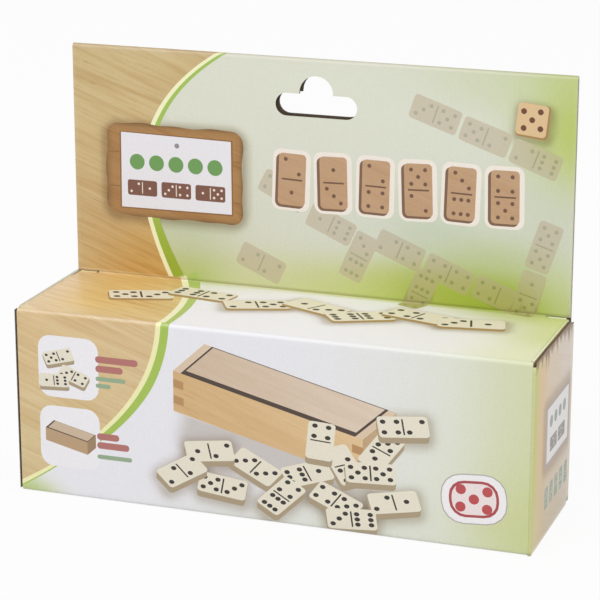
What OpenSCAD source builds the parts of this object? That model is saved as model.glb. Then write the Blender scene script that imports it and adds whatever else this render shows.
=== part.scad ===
// Hanging carton for a domino set, closed at both ends by tucked flaps, with the
// wooden storage box and its 28 dominoes inside.
// X runs along the width, +Y towards the back panel and +Z up.
// The origin is the middle of the carton's underside. Sizes are in millimetres.

/* [Dominoes] */
// Length of a domino
tile_l = 44; // [36:0.5:52]
// Width of a domino
tile_w = 22; // [18:0.5:26]
// Thickness of a domino
tile_t = 5.8; // [4.5:0.1:7]
// Corner radius of a domino's face
tile_r = 2.6; // [1:0.1:4]
// Diameter of a pip dimple
pip_d = 3.2; // [2:0.1:4]
// Depth of a pip dimple
pip_depth = 0.6; // [0.3:0.05:1]
// Spacing of the pips in a number
pip_step = 5.4; // [4:0.2:6.4]
// Width of the bar between the halves
bar_w = 0.9; // [0.5:0.1:1.5]
// Distance of the bar's ends from the domino's edges
bar_inset = 2.4; // [1:0.2:5]
// Depth of the bar
bar_depth = 0.4; // [0.2:0.05:0.8]

/* [Storage box] */
// Thickness of the two end walls
end_wall_t = 5; // [4:0.25:7]
// Thickness of the front and back walls
side_wall_t = 4.2; // [3:0.2:6]
// Thickness of the floor board
floor_t = 4; // [3:0.25:6]
// Thickness of the lid board
lid_t = 5; // [4:0.25:7]
// Free height between the dominoes and the lid
lid_headroom = 2; // [1:0.25:5]
// Clearance round the lid
lid_gap = 0.3; // [0.2:0.05:0.6]
// Diameter of the two hinge pins
pin_d = 2; // [1.5:0.1:2.5]
// Length of a hinge pin inside the lid
pin_grip = 10; // [6:0.5:16]
// Number of fingers in a corner joint
fingers = 5; // [3:2:7]

/* [Carton] */
// Thickness of the board
board_t = 1; // [0.7:0.05:1.3]
// Inner radius of a fold
fold_inner = 0.6; // [0.4:0.05:1.2]
// Height of the header above the carton's top
header_h = 90; // [60:1:120]
// Gap between the header's two layers
header_gap = 0.6; // [0.3:0.1:1.5]
// Free height above the storage box
headroom = 37; // [30:1:60]
// Play between the storage box and the folds beside it
side_play = 0.2; // [0.05:0.05:0.3]
// Height of the glue flap inside the back panel
glue_h = 15; // [10:0.5:22]
// Length by which the glue flap's ends slope in
glue_taper = 6; // [3:0.5:10]
// Length of the slits at both ends of the header's crease
relief_l = 8; // [5:0.5:12]
// Height of those slits
relief_h = 0.9; // [0.6:0.05:1.2]

/* [End flaps] */
// Length of the tuck lip
lip_l = 11; // [8:0.5:13]
// Lean of the closed tuck lip from the panel
lip_lean = 10; // [9:0.5:14]
// Distance of the lip's ends from the flap's ends
lip_inset = 4; // [3:0.25:8]
// Corner radius of the tuck lip
lip_corner_r = 5; // [3:0.5:8]
// Gap between the lip's crease and the panel
lip_gap = 0.35; // [0.3:0.05:0.6]
// Corner radius of an end flap
flap_corner_r = 3.5; // [2:0.5:6]
// Play between a tuck lip's tip and the storage box
lip_play = 1.07; // [0.8:0.01:3]
// Length of a dust flap
dust_l = 24; // [16:0.5:28]
// Slope of a dust flap's mitred edge, across for each length up
dust_mitre = 0.8; // [0.76:0.01:0.9]
// Length by which a dust flap's other edge slopes in
dust_taper = 2; // [1.5:0.25:6]
// Corner radius of a dust flap
dust_corner_r = 1.5; // [1:0.25:2.5]
// Gap at a crease between a panel and its flap
hinge_gap = 0.15; // [0.1:0.01:0.25]
// Clearance between a closed flap and what it covers
flap_gap = 0.2; // [0.15:0.05:0.4]

/* [Hang slot] */
// Overall width of the hang slot
slot_w = 32; // [28:0.5:36]
// Height of the slot's side lobes
lobe_h = 8.6; // [6:0.2:11]
// Width of the slot's middle hump
hump_w = 13.2; // [10:0.2:16]
// Overall height of the slot at the hump
slot_h = 15.6; // [13:0.2:19]
// Distance of the slot's top from the header's top edge
slot_drop = 6.4; // [5:0.2:14]

/* [Hidden] */
$fn = 64;
cut_over = 1;

// Dominoes
top_number = 6;
tile_play = 0.04;
tile_pitch = tile_t + tile_play;
pairs = [for (low = [0 : top_number], high = [low : top_number]) [low, high]];
pip_sphere_r = (pip_d * pip_d / 4 + pip_depth * pip_depth) / (2 * pip_depth);
bar_l = tile_w - 2 * bar_inset;
pip_spots = [
    [],
    [[0, 0]],
    [[-1, -1], [1, 1]],
    [[-1, -1], [0, 0], [1, 1]],
    [[-1, -1], [-1, 1], [1, -1], [1, 1]],
    [[-1, -1], [-1, 1], [0, 0], [1, -1], [1, 1]],
    [[-1, -1], [-1, 0], [-1, 1], [1, -1], [1, 0], [1, 1]]
];

// Storage box, sized round the row of dominoes
row_play = 0.6;
tile_length_play = 1;
row_l = len(pairs) * tile_pitch - tile_play;
box_in_l = row_l + row_play;
box_in_d = tile_l + tile_length_play;
box_l = box_in_l + 2 * end_wall_t;
box_d = box_in_d + 2 * side_wall_t;
side_wall_h = floor_t + tile_w + lid_headroom - lid_gap;
box_h = side_wall_h + lid_gap + lid_t;
finger_h = side_wall_h / fingers;
lid_end_gap = 0.4;
lid_l = box_in_l - 2 * lid_end_gap;
lid_pivot_y = box_d / 2 - lid_t / 2;
lid_pivot_z = box_h - lid_t / 2;
pin_clear = 0.05;
pin_seat = 0.01;

// Carton, sized round the storage box
fold_outer = fold_inner + board_t;
panel_end = box_l / 2 + lip_play + lip_l - board_t / 2 - hinge_gap;
carton_w = 2 * (panel_end + board_t + hinge_gap);
side_gap = fold_inner + side_play;
carton_d = box_d + 2 * side_gap + 3 * board_t;
carton_h = box_h + headroom + 2 * board_t;
total_h = carton_h + header_h;
front_y = -carton_d / 2;
back_y = carton_d / 2;
header_y = back_y - 2 * board_t - header_gap;
top_fold_r = board_t + header_gap / 2;
box_y = (front_y + back_y - board_t) / 2;
glue_end = panel_end - lip_l - lip_play;
glue_lip_play = 0.8;

// Flaps, with each crease's axis in the middle of the board
flap_axis_x = carton_w / 2 - board_t / 2;
flap_axis_y = front_y + board_t / 2;
lip_axis_y = back_y - board_t - lip_gap - board_t / 2;
flap_h = carton_h - 2 * flap_gap;
lip_h = carton_h - 2 * lip_inset;
dust_axis_x = carton_w / 2 - board_t - flap_gap - board_t / 2;
dust_front_play = 0.4;
dust_lip_play = 1.2;
dust_front_y = front_y + fold_outer + dust_front_play;
dust_back_y = lip_axis_y - board_t / 2 - dust_lip_play;
dust_end_x = dust_axis_x - board_t / 2 - hinge_gap;

tile_nodes = [for (p = pairs) str("domino_", p[0], "_", p[1])];

// ---------- shared shapes ----------

// Rectangle with rounded corners, centred, made of squares and circles.
module rounded_rect(w, h, r) {
    square([w - 2 * r, h], center = true);
    square([w, h - 2 * r], center = true);
    for (sx = [-1, 1], sy = [-1, 1])
        translate([sx * (w / 2 - r), sy * (h / 2 - r)]) circle(r);
}

// Quarter of a ring of board, in the quadrant that sx and sy name.
module fold_quarter(r_out, r_in, sx, sy) {
    intersection() {
        difference() {
            circle(r_out);
            circle(r_in);
        }
        translate([sx > 0 ? 0 : -r_out, sy > 0 ? 0 : -r_out]) square(r_out);
    }
}

// Carries a profile drawn in the Y-Z plane along the whole panel width.
module along_width() {
    rotate([90, 0, 90])
        linear_extrude(2 * panel_end, center = true)
            children();
}

// Hang slot outline, with its top at the origin and the hump in the middle.
module slot_outline() {
    lobe_z = -slot_h + lobe_h / 2;
    translate([0, lobe_z]) square([slot_w - lobe_h, lobe_h], center = true);
    for (s = [-1, 1]) translate([s * (slot_w - lobe_h) / 2, lobe_z]) circle(d = lobe_h);
    translate([0, -hump_w / 2]) circle(d = hump_w);
    translate([-hump_w / 2, lobe_z]) square([hump_w, slot_h - lobe_h / 2 - hump_w / 2]);
}

module hang_slot() {
    translate([0, back_y + cut_over, total_h - slot_drop])
        rotate([90, 0, 0])
            linear_extrude(2 * board_t + header_gap + 2 * cut_over)
                slot_outline();
}

// ---------- carton shell ----------

module front_panel() {
    color("#d8ccb0") along_width() {
        translate([front_y, fold_outer]) square([board_t, carton_h - 2 * fold_outer]);
        translate([front_y + fold_outer, fold_outer]) fold_quarter(fold_outer, fold_inner, -1, -1);
        translate([front_y + fold_outer, carton_h - fold_outer])
            fold_quarter(fold_outer, fold_inner, -1, 1);
    }
}

// The short ends stay clear of the dust flaps' creases.
module dust_crease_room() {
    for (s = [-1, 1])
        translate([s * (dust_end_x + carton_w / 2), 0, 0])
            cube([carton_w, 2 * carton_d, 4 * carton_h], center = true);
}

module top_panel() {
    color("#e6dfb8") difference() {
        along_width()
            translate([front_y + fold_outer, carton_h - board_t])
                square([header_y - fold_inner - front_y - fold_outer, board_t]);
        dust_crease_room();
    }
}

module header_front_layer() {
    color("#cfd6b4") difference() {
        along_width() {
            translate([header_y - fold_inner, carton_h + fold_inner])
                fold_quarter(fold_outer, fold_inner, 1, -1);
            translate([header_y, carton_h + fold_inner])
                square([board_t, total_h - top_fold_r - carton_h - fold_inner]);
            translate([header_y + top_fold_r, total_h - top_fold_r]) {
                fold_quarter(top_fold_r, header_gap / 2, -1, 1);
                fold_quarter(top_fold_r, header_gap / 2, 1, 1);
            }
        }
        hang_slot();
        // Relief slits at both ends of the crease, and the dust flaps' room below it.
        for (s = [-1, 1])
            translate([s * panel_end, header_y, carton_h + relief_h / 2])
                cube([2 * relief_l, 4 * board_t, relief_h], center = true);
        intersection() {
            dust_crease_room();
            translate([0, 0, carton_h - fold_outer])
                cube([2 * carton_w, 2 * carton_d, 2 * fold_outer], center = true);
        }
    }
}

module back_panel() {
    color("#c9d2ae") difference() {
        translate([-panel_end, back_y - board_t, 0])
            cube([2 * panel_end, board_t, total_h - top_fold_r]);
        hang_slot();
    }
}

module bottom_panel() {
    color("#d9d6cc") difference() {
        along_width()
            translate([front_y + fold_outer, 0])
                square([carton_d - board_t - 2 * fold_outer, board_t]);
        dust_crease_room();
    }
}

// Folded up from the bottom panel and glued inside the back panel. Above the lip's
// lower edge it is trimmed short of the right end, where the tuck lip goes in.
module glue_flap() {
    glue_y = back_y - 2 * board_t;
    color("#cfc9ba") intersection() {
        along_width() {
            translate([glue_y + board_t - fold_outer, fold_outer])
                fold_quarter(fold_outer, fold_inner, 1, -1);
            translate([glue_y, fold_outer]) square([board_t, glue_h - fold_outer]);
        }
        translate([0, back_y, 0]) rotate([90, 0, 0]) linear_extrude(carton_d)
            polygon([
                [-dust_end_x, 0], [dust_end_x, 0], [dust_end_x, fold_outer],
                [glue_end, lip_inset - glue_lip_play], [glue_end - glue_taper, glue_h],
                [glue_taper - glue_end, glue_h], [-glue_end, lip_inset - glue_lip_play],
                [-dust_end_x, fold_outer]
            ]);
    }
}

// ---------- end closures ----------
// Each is drawn for the right end, where the end flap turns on the front panel
// and tucks in behind the back panel. The left end is the same, turned half
// round, so that its flap turns on the back panel.

module place_end(side) {
    rotate([0, 0, side == "right" ? 0 : 180]) children();
}

// Flat board with a rounded edge on the Z axis, reaching along +Y.
module crease_edge(h) {
    cylinder(d = board_t, h = h, center = true);
}

module end_flap(side) {
    flap_l = lip_axis_y - board_t / 2 - hinge_gap - flap_axis_y;
    color("#d2b48c") place_end(side)
        translate([flap_axis_x, flap_axis_y, carton_h / 2]) {
            crease_edge(flap_h);
            rotate([90, 0, 90]) linear_extrude(board_t, center = true) {
                translate([0, -flap_h / 2]) square([flap_l / 2, flap_h]);
                translate([flap_l / 2, 0]) rounded_rect(flap_l, flap_h, flap_corner_r);
            }
        }
}

// The lip's crease runs along the flap's free edge, and the lip leans inwards.
module tuck_lip(side) {
    color("#c8a878") place_end(side)
        translate([flap_axis_x, lip_axis_y, carton_h / 2])
            rotate([0, 0, 90 + lip_lean]) {
                crease_edge(lip_h);
                rotate([90, 0, 90]) linear_extrude(board_t, center = true) {
                    translate([0, -lip_h / 2]) square([lip_l / 2, lip_h]);
                    translate([lip_l / 2, 0]) rounded_rect(lip_l, lip_h, lip_corner_r);
                }
            }
}

// Outline of a dust flap: its crease on the X axis, mitred where the end flap turns.
module dust_outline() {
    far_front = dust_front_y + dust_mitre * dust_l;
    far_back = dust_back_y - dust_taper;
    r = dust_corner_r;
    polygon([
        [dust_front_y, 0], [dust_back_y, 0], [far_back + dust_taper * r / dust_l, dust_l - r],
        [far_back - r, dust_l], [far_front + r / 2, dust_l],
        [far_front - dust_mitre * r, dust_l - r]
    ]);
    translate([far_back - r, dust_l - r]) circle(r);
}

module dust_flap(side, upper) {
    place_end(side) translate([dust_axis_x, 0, upper ? carton_h - board_t / 2 : board_t / 2])
        mirror([0, 0, upper ? 1 : 0]) {
            translate([0, dust_front_y, 0]) rotate([-90, 0, 0])
                cylinder(d = board_t, h = dust_back_y - dust_front_y);
            rotate([90, 0, 90]) linear_extrude(board_t, center = true) dust_outline();
        }
}

module top_dust_flap(side) {
    color("#dcd8cc") dust_flap(side, true);
}

module bottom_dust_flap(side) {
    color("#dcd8cc") dust_flap(side, false);
}

// ---------- storage box ----------

module place_box() {
    translate([0, box_y, board_t]) children();
}

// The fingers that the side walls push through the end walls, from both sides.
module side_fingers(grow = 0) {
    for (s = [-1, 1], i = [1 : 2 : fingers - 1])
        translate([s * (box_l - end_wall_t) / 2, 0, (i + 0.5) * finger_h])
            cube([end_wall_t + grow, side_wall_t + grow, finger_h], center = true);
}

module box_side_wall(back) {
    color("#d9b88a") place_box() translate([0, (back ? 1 : -1) * (box_d - side_wall_t) / 2, 0]) {
        translate([-box_in_l / 2, -side_wall_t / 2, 0]) cube([box_in_l, side_wall_t, side_wall_h]);
        side_fingers();
    }
}

module box_end_wall(side) {
    s = side == "right" ? 1 : -1;
    color("#cfa876") place_box() difference() {
        translate([s > 0 ? box_in_l / 2 : -box_l / 2, -box_d / 2, 0])
            cube([end_wall_t, box_d, box_h]);
        for (t = [-1, 1], i = [1 : 2 : fingers - 1])
            translate([s * box_l / 2, t * box_d / 2, (i + 0.5) * finger_h])
                cube([2 * end_wall_t, 2 * side_wall_t, finger_h], center = true);
        translate([s * box_l / 2, lid_pivot_y, lid_pivot_z]) rotate([0, 90, 0])
            cylinder(d = pin_d + 2 * pin_seat, h = 4 * end_wall_t, center = true);
    }
}

module box_floor() {
    color("#dcc09a") place_box()
        translate([-box_in_l / 2, -box_in_d / 2, 0]) cube([box_in_l, box_in_d, floor_t]);
}

// The lid lies between the end walls. Its back edge is round about the pins.
module box_lid() {
    color("#e0c8a4") place_box() difference() {
        rotate([90, 0, 90]) linear_extrude(lid_l, center = true) {
            translate([-box_d / 2, box_h - lid_t]) square([lid_pivot_y + box_d / 2, lid_t]);
            translate([lid_pivot_y, lid_pivot_z]) circle(d = lid_t);
        }
        for (s = [-1, 1]) translate([s * lid_l / 2, lid_pivot_y, lid_pivot_z])
            rotate([0, 90, 0])
                cylinder(d = pin_d + 2 * pin_clear, h = 2 * (pin_grip + lid_end_gap), center = true);
    }
}

module lid_pin(side) {
    s = side == "right" ? 1 : -1;
    pin_l = end_wall_t + lid_end_gap + pin_grip;
    color("silver") place_box()
        translate([s * (box_l / 2 - pin_l / 2), lid_pivot_y, lid_pivot_z])
            rotate([0, 90, 0]) cylinder(d = pin_d, h = pin_l, center = true);
}

// ---------- dominoes ----------

// Dimples for one number, in the plane of a domino's face, centred on its half.
module pips(number) {
    for (spot = pip_spots[number])
        translate([spot[0] * pip_step, spot[1] * pip_step, pip_sphere_r - pip_depth])
            sphere(pip_sphere_r);
}

// A domino lying flat: long axis on X, face up at z = 0.
module domino(low, high) {
    difference() {
        translate([0, 0, -tile_t]) linear_extrude(tile_t) rounded_rect(tile_l, tile_w, tile_r);
        translate([-tile_l / 4, 0, 0]) pips(low);
        translate([tile_l / 4, 0, 0]) pips(high);
        cube([bar_w, bar_l, 2 * bar_depth], center = true);
    }
}

// The dominoes stand on their long edges in one row, faces towards the right.
module stored_domino(index) {
    face_x = -row_l / 2 + index * tile_pitch + tile_t;
    color("ivory") place_box() translate([face_x, 0, floor_t + tile_w / 2])
        rotate([90, 0, 90]) domino(pairs[index][0], pairs[index][1]);
}

// ---------- the assembly ----------

front_panel();
top_panel();
header_front_layer();
back_panel();
bottom_panel();
glue_flap();
for (side = ["right", "left"]) {
    end_flap(side);
    tuck_lip(side);
    top_dust_flap(side);
    bottom_dust_flap(side);
    box_end_wall(side);
    lid_pin(side);
}
box_floor();
box_side_wall(false);  // box_front_wall
box_side_wall(true);  // box_back_wall
box_lid();
for (i = [0 : len(pairs) - 1])
    stored_domino(i);
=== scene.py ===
# %% [markdown]
# # A domino set in a hanging carton
# The object is a printed paperboard carton that hangs on a shop's hook by the slot in
# its tall header. Inside lies a small beech box with a pivoting lid, full of dominoes.
# The solids come first: the frame is loaded, and everything made below either gives a
# solid its finish or stands in a solid's place with finer detail.

import math

import bmesh
import bpy
import numpy as np
from mathutils import Matrix, Vector, geometry


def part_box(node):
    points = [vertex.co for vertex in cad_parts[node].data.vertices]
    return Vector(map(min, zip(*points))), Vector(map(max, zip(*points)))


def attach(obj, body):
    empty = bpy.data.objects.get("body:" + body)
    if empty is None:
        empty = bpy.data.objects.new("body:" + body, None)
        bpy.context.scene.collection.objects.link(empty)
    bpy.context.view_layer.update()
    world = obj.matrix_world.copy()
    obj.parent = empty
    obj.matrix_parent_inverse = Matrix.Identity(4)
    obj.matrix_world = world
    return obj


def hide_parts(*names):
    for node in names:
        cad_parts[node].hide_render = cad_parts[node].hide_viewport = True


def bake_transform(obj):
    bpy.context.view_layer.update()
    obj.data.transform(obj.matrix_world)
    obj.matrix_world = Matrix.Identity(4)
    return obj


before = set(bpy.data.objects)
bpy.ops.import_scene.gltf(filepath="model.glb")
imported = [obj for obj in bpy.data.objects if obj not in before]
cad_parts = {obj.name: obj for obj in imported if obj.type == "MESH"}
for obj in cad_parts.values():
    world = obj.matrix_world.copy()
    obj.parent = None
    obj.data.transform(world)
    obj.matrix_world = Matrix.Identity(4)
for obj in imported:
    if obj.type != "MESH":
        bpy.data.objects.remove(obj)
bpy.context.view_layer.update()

# %% [markdown]
# ## Camera
# The photograph was taken with a long lens from a little to the right of the carton and
# a little above it. A camera could be aimed by eye, but the carton's corners give its
# place exactly, so the camera is set from angles and a distance that fit them.

# %% Set the camera
CAMERA_AT = Vector((0.28497, -0.79978, 0.32881))
CAMERA_AZIMUTH = math.radians(19.422)
CAMERA_ELEVATION = math.radians(16.530)
LENS_MM = 144.15
SENSOR_MM = 36.0


def in_scene(name, data):
    """A new object that shows a camera, a lamp or a mesh, linked into the scene."""
    made = bpy.data.objects.new(name, data)
    bpy.context.collection.objects.link(made)
    return made


def aimed_camera():
    """A camera whose back vector is (sin a cos e, -cos a cos e, sin e)."""
    back = Vector((math.sin(CAMERA_AZIMUTH) * math.cos(CAMERA_ELEVATION),
                   -math.cos(CAMERA_AZIMUTH) * math.cos(CAMERA_ELEVATION),
                   math.sin(CAMERA_ELEVATION)))
    right = Vector((math.cos(CAMERA_AZIMUTH), math.sin(CAMERA_AZIMUTH), 0.0))
    turn = Matrix((right, back.cross(right), back)).transposed().to_4x4()
    lens = bpy.data.cameras.new("photo_camera")
    lens.lens, lens.sensor_width = LENS_MM, SENSOR_MM
    lens.clip_start, lens.clip_end = 0.01, 20.0
    camera = in_scene("photo_camera", lens)
    camera.matrix_world = Matrix.Translation(CAMERA_AT) @ turn
    return camera


bpy.context.scene.camera = aimed_camera()
print("camera", tuple(round(v, 3) for v in CAMERA_AT), "m, lens", LENS_MM, "mm")

# %% [markdown]
# ## Colours and nodes
# Inks are written as the hex values a print shop would use. Blender works with linear
# light, so one function turns them over. A second small helper adds a shader node with
# its settings and links, so a material reads as a list of what the real surface has.


# %% Helpers for colours and nodes
def srgb(code):
    """The three sRGB values, from 0 to 1, of a hex colour."""
    return np.array([int(code[i:i + 2], 16) / 255 for i in (1, 3, 5)])


def linear(values):
    """Linear light of sRGB values: v/12.92 below 0.04045, else ((v+0.055)/1.055)^2.4."""
    v = np.clip(np.asarray(values, float), 0, 1)
    return np.where(v <= 0.04045, v / 12.92, ((v + 0.055) / 1.055) ** 2.4)


def paint(code):
    """A hex colour as the four linear values a shader socket takes."""
    return (*linear(srgb(code)), 1.0)


def node(tree, kind, links=(), stops=(), **settings):
    """Adds one shader node. A setting that names a socket fills it, others set
    properties. Links are pairs of (input, what feeds it): a socket, a node, which gives
    its first output, or a value. Stops are a colour ramp's (position, hex colour)."""
    made = tree.nodes.new("ShaderNode" + kind)
    for key, value in settings.items():
        if hasattr(made, key):
            setattr(made, key, value)
    for key, value in settings.items():
        if not hasattr(made, key):
            made.inputs[key.replace("_", " ")].default_value = value
    for name, source in links:
        source = source.outputs[0] if isinstance(source, bpy.types.Node) else source
        if isinstance(source, bpy.types.NodeSocket):
            tree.links.new(source, made.inputs[name])
        else:
            made.inputs[name].default_value = source
    if stops:
        elements = made.color_ramp.elements
        while len(elements) < len(stops):
            elements.new(0.5)
        for element, (position, colour) in zip(elements, stops):
            element.position, element.color = position, paint(colour)
    return made


def material_of(name, surface, *wishes):
    """A material whose surface is the shader that the function `surface` builds."""
    material = bpy.data.materials.new(name)
    material.use_nodes = True
    material.node_tree.nodes.clear()
    shader = surface(material.node_tree, *wishes)
    node(material.node_tree, "OutputMaterial", [("Surface", shader)])
    return material


WHITE = paint("#FFFFFF")
print("white", WHITE[:3], "mid grey", round(paint("#808080")[0], 3))

# %% [markdown]
# ## Stage and light
# The photograph is a product shot on white: wide soft light from the front and above,
# hardly any shadow. A white sky gives the even level, one wide lamp gives the top face
# and the front their small difference, a weaker one lights the right end, and the floor
# is seen as nearly white but keeps the carton's soft shadow.

# %% Floor, sky and lamps
SKY_STRENGTH = 0.72
FLOOR_HALF, FLOOR_DROP, FLOOR_WHITE = 3.0, 0.0002, 0.93
LAMP_TARGET = Vector((0.0, 0.0, 0.07))
LAMPS = (("window", (-0.40, -1.00, 1.60), 1.1, 12.5),
         ("fill", (1.30, -0.60, 0.55), 1.0, 5.6))


def white_when_seen(tree, shader, share):
    """Mixes plain white into a shader by `share` for camera, glossy and clear rays."""
    rays = node(tree, "LightPath").outputs
    seen = node(tree, "Math", [(0, rays["Is Camera Ray"]), (1, rays["Is Glossy Ray"])], operation="MAXIMUM")
    both = node(tree, "Math", [(0, seen), (1, rays["Is Transmission Ray"])], operation="MAXIMUM")
    part = node(tree, "Math", [(0, both), (1, share)], operation="MULTIPLY")
    of_sky = shader.bl_idname == "ShaderNodeBackground"
    white = node(tree, "Background" if of_sky else "Emission", Color=WHITE, Strength=1.0)
    return node(tree, "MixShader", [(0, part), (1, shader), (2, white)])


def light_sky():
    """An even white sky."""
    world = bpy.data.worlds.new("studio")
    world.use_nodes = True
    sky = world.node_tree
    sky.nodes.clear()
    glow = node(sky, "Background", Color=WHITE, Strength=SKY_STRENGTH)
    node(sky, "OutputWorld", [("Surface", white_when_seen(sky, glow, 1.0))])
    bpy.context.scene.world = world


def table_top(tree):
    """Matt white that keeps the carton's soft shadow."""
    return white_when_seen(tree, node(tree, "BsdfDiffuse", Color=paint("#DCDCDC")), FLOOR_WHITE)


def lay_floor():
    """A pale square floor just below the carton."""
    mesh = bpy.data.meshes.new("floor")
    mesh.from_pydata([(x * FLOOR_HALF, y * FLOOR_HALF, -FLOOR_DROP)
                      for x, y in ((-1, -1), (1, -1), (1, 1), (-1, 1))], [], [(0, 1, 2, 3)])
    mesh.materials.append(material_of("matt_white_table", table_top))
    floor = in_scene("floor", mesh)


def hang_lamp(name, at, size, power):
    """A square lamp that looks at the middle of the carton."""
    lamp = bpy.data.lights.new(name, "AREA")
    lamp.shape, lamp.size, lamp.energy = "SQUARE", size, power
    turn = (LAMP_TARGET - Vector(at)).to_track_quat("-Z", "Y").to_matrix().to_4x4()
    in_scene(name, lamp).matrix_world = Matrix.Translation(at) @ turn


light_sky()
lay_floor()
for lamp_row in LAMPS:
    hang_lamp(*lamp_row)
bpy.context.scene.view_settings.view_transform = "Standard"
print("sky", SKY_STRENGTH, "and", len(LAMPS), "lamps")

# %% [markdown]
# ## The carton's sizes
# The carton is cut from one flat blank and folded, so its pieces are drawn here as that
# blank: x runs across the panels and s runs up the sheet, over the front, the top, the
# header and its folded edge. These are the solids' sizes, in millimetres.

# %% Sizes of the blank
BOARD = 1.0
HALF_BOARD = BOARD / 2
FRONT_Y, BACK_Y = -29.0, 29.0
CARTON_H, TOTAL_H = 72.0, 162.0
PANEL_END, DUST_END = 98.46, 97.26
FOLD_OUT, FOLD_IN, TOP_FOLD = 1.6, 0.6, 1.3
HEADER_Y = 26.4
SLIT_START, SLIT_TOP, SLIT_WIDTH = 90.46, 72.35, 0.22
QUARTER = math.pi / 2
FRONT_RISE = CARTON_H - 2 * FOLD_OUT
TOP_RUN = HEADER_Y - FOLD_IN - FRONT_Y - FOLD_OUT
HEADER_RISE = TOTAL_H - TOP_FOLD - CARTON_H - FOLD_IN
WRAP_RUNS = [(FOLD_OUT * QUARTER, -1 / FOLD_OUT), (FRONT_RISE, 0.0),
             (FOLD_OUT * QUARTER, -1 / FOLD_OUT), (TOP_RUN, 0.0),
             (FOLD_IN * QUARTER, 1 / FOLD_IN), (HEADER_RISE, 0.0),
             (TOP_FOLD * 2 * QUARTER, -1 / TOP_FOLD)]
WRAP_STOPS = np.concatenate([[0.0], np.cumsum([length for length, bend in WRAP_RUNS])])
SHEET_AT = {"front": WRAP_STOPS[1] - FOLD_OUT, "top": WRAP_STOPS[3] - FRONT_Y - FOLD_OUT,
            "header": WRAP_STOPS[5] - CARTON_H - FOLD_IN}
print("flat length of the wrap", round(WRAP_STOPS[-1], 2), "mm")

# %% [markdown]
# ## Folding a flat sheet
# A fold could be bevelled into a box, but then the print would stretch at the edge. Here
# the flat sheet is carried along a profile of straight runs and small arcs, just as the
# real board goes round its creases, so every printed line crosses a fold unbroken.


# %% Profiles of a folded sheet
def along_profile(s, start, heading, runs):
    """Points and outward normals of a profile of arcs and lines. In a run of bend k
    that starts at angle h, the point at distance d is start + d sinc(kd/2) (cos, sin)
    of h + kd/2, which is a straight line where k is 0."""
    point, angle, begun = np.array(start, float), heading, 0.0
    at, facing = np.zeros((len(s), 2)), np.zeros((len(s), 2))
    for length, bend in runs:
        here = s >= begun - 1e-9
        d = np.clip(s[here] - begun, 0, length)
        half = angle + bend * d / 2
        chord = d * np.sinc(bend * d / 2 / math.pi)
        at[here] = point + chord[:, None] * np.stack([np.cos(half), np.sin(half)], 1)
        turn = angle + bend * d
        facing[here] = np.stack([-np.sin(turn), np.cos(turn)], 1)
        middle = angle + bend * length / 2
        reach = length * np.sinc(bend * length / 2 / math.pi)
        point = point + reach * np.array([math.cos(middle), math.sin(middle)])
        angle += bend * length
        begun += length
    return at, facing


def folded_wrap(flat, depth):
    """Blank (x, s) to space: x stays, and s runs up the front, over the top and the header."""
    at, facing = along_profile(flat[:, 1], (FRONT_Y + FOLD_OUT, 0.0), math.pi, WRAP_RUNS)
    return np.column_stack([flat[:, 0], at - depth * facing])


def planar(corner, across, up):
    """A placing for a flat board: corner + u across + v up - depth times their normal."""
    corner, across, up = (np.array(v, float) for v in (corner, across, up))
    normal = np.cross(across, up)
    return lambda flat, depth: corner + flat[:, :1] * across + flat[:, 1:] * up - depth * normal


wrap_ends = np.array([[0.0, 0.0], [0.0, WRAP_STOPS[-1]]])
print("ends of the wrap", folded_wrap(wrap_ends, 0).round(2).tolist())

# %% [markdown]
# ## Loops to cut and print with
# A printed sheet is made of shapes with sharp edges: curves, rounded boxes, dominoes and
# pips. Each is a closed loop of points, worked out as one array.


# %% Loops
def circular(turn):
    """Points (cos t, sin t) of an array of angles."""
    return np.stack([np.cos(turn), np.sin(turn)], 1)


def rounded(w, h, r, steps=4):
    """Closed loop of a rounded rectangle: each corner centre plus r (cos, sin) of a quarter."""
    arc = circular(np.linspace(0, QUARTER, steps + 1)) * r
    quarters = []
    for k, (sx, sy) in enumerate(((1, 1), (-1, 1), (-1, -1), (1, -1))):
        c, s = math.cos(k * QUARTER), math.sin(k * QUARTER)
        quarters.append(arc @ np.array([[c, s], [-s, c]]) + [sx * (w / 2 - r), sy * (h / 2 - r)])
    return np.concatenate(quarters)


def oval(w, h, count=12):
    """Closed loop of an ellipse: (w cos t, h sin t) / 2."""
    t = np.arange(count) * 2 * math.pi / count
    return np.stack([np.cos(t) * w / 2, np.sin(t) * h / 2], 1)


def placed(loop, centre, degrees=0.0, lean=1.0):
    """Turns a loop, then scales its height by `lean` for foreshortening, then moves it."""
    a = math.radians(degrees)
    turned = loop @ np.array([[math.cos(a), math.sin(a)], [-math.sin(a), math.cos(a)]])
    return turned * [1.0, lean] + centre


def bezier(p0, p1, p2, p3, count=60):
    """Cubic curve: the four points weighted by (1-t)^3, 3t(1-t)^2, 3t^2(1-t) and t^3."""
    t = np.linspace(0, 1, count)[:, None]
    p0, p1, p2, p3 = (np.array(p, float) for p in (p0, p1, p2, p3))
    return p0 * (1 - t) ** 3 + 3 * p1 * t * (1 - t) ** 2 + 3 * p2 * t ** 2 * (1 - t) + p3 * t ** 3


def band(curve, near, far):
    """Closed loop between two offsets of a curve, each a number or one for each point,
    along the curve's left-hand normal."""
    step = np.gradient(curve, axis=0)
    left = np.stack([-step[:, 1], step[:, 0]], 1) / np.linalg.norm(step, axis=1, keepdims=True)
    near, far = (np.broadcast_to(v, len(curve))[:, None] for v in (near, far))
    return np.concatenate([curve + left * near, (curve + left * far)[::-1]])


def leftward(loop):
    """The loop run anticlockwise: turned round if half the sum of x y' - x' y is below 0."""
    x, y = np.asarray(loop, float).T
    area = 0.5 * np.sum(x * np.roll(y, -1) - np.roll(x, -1) * y)
    return np.asarray(loop, float)[::1 if area > 0 else -1]


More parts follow.
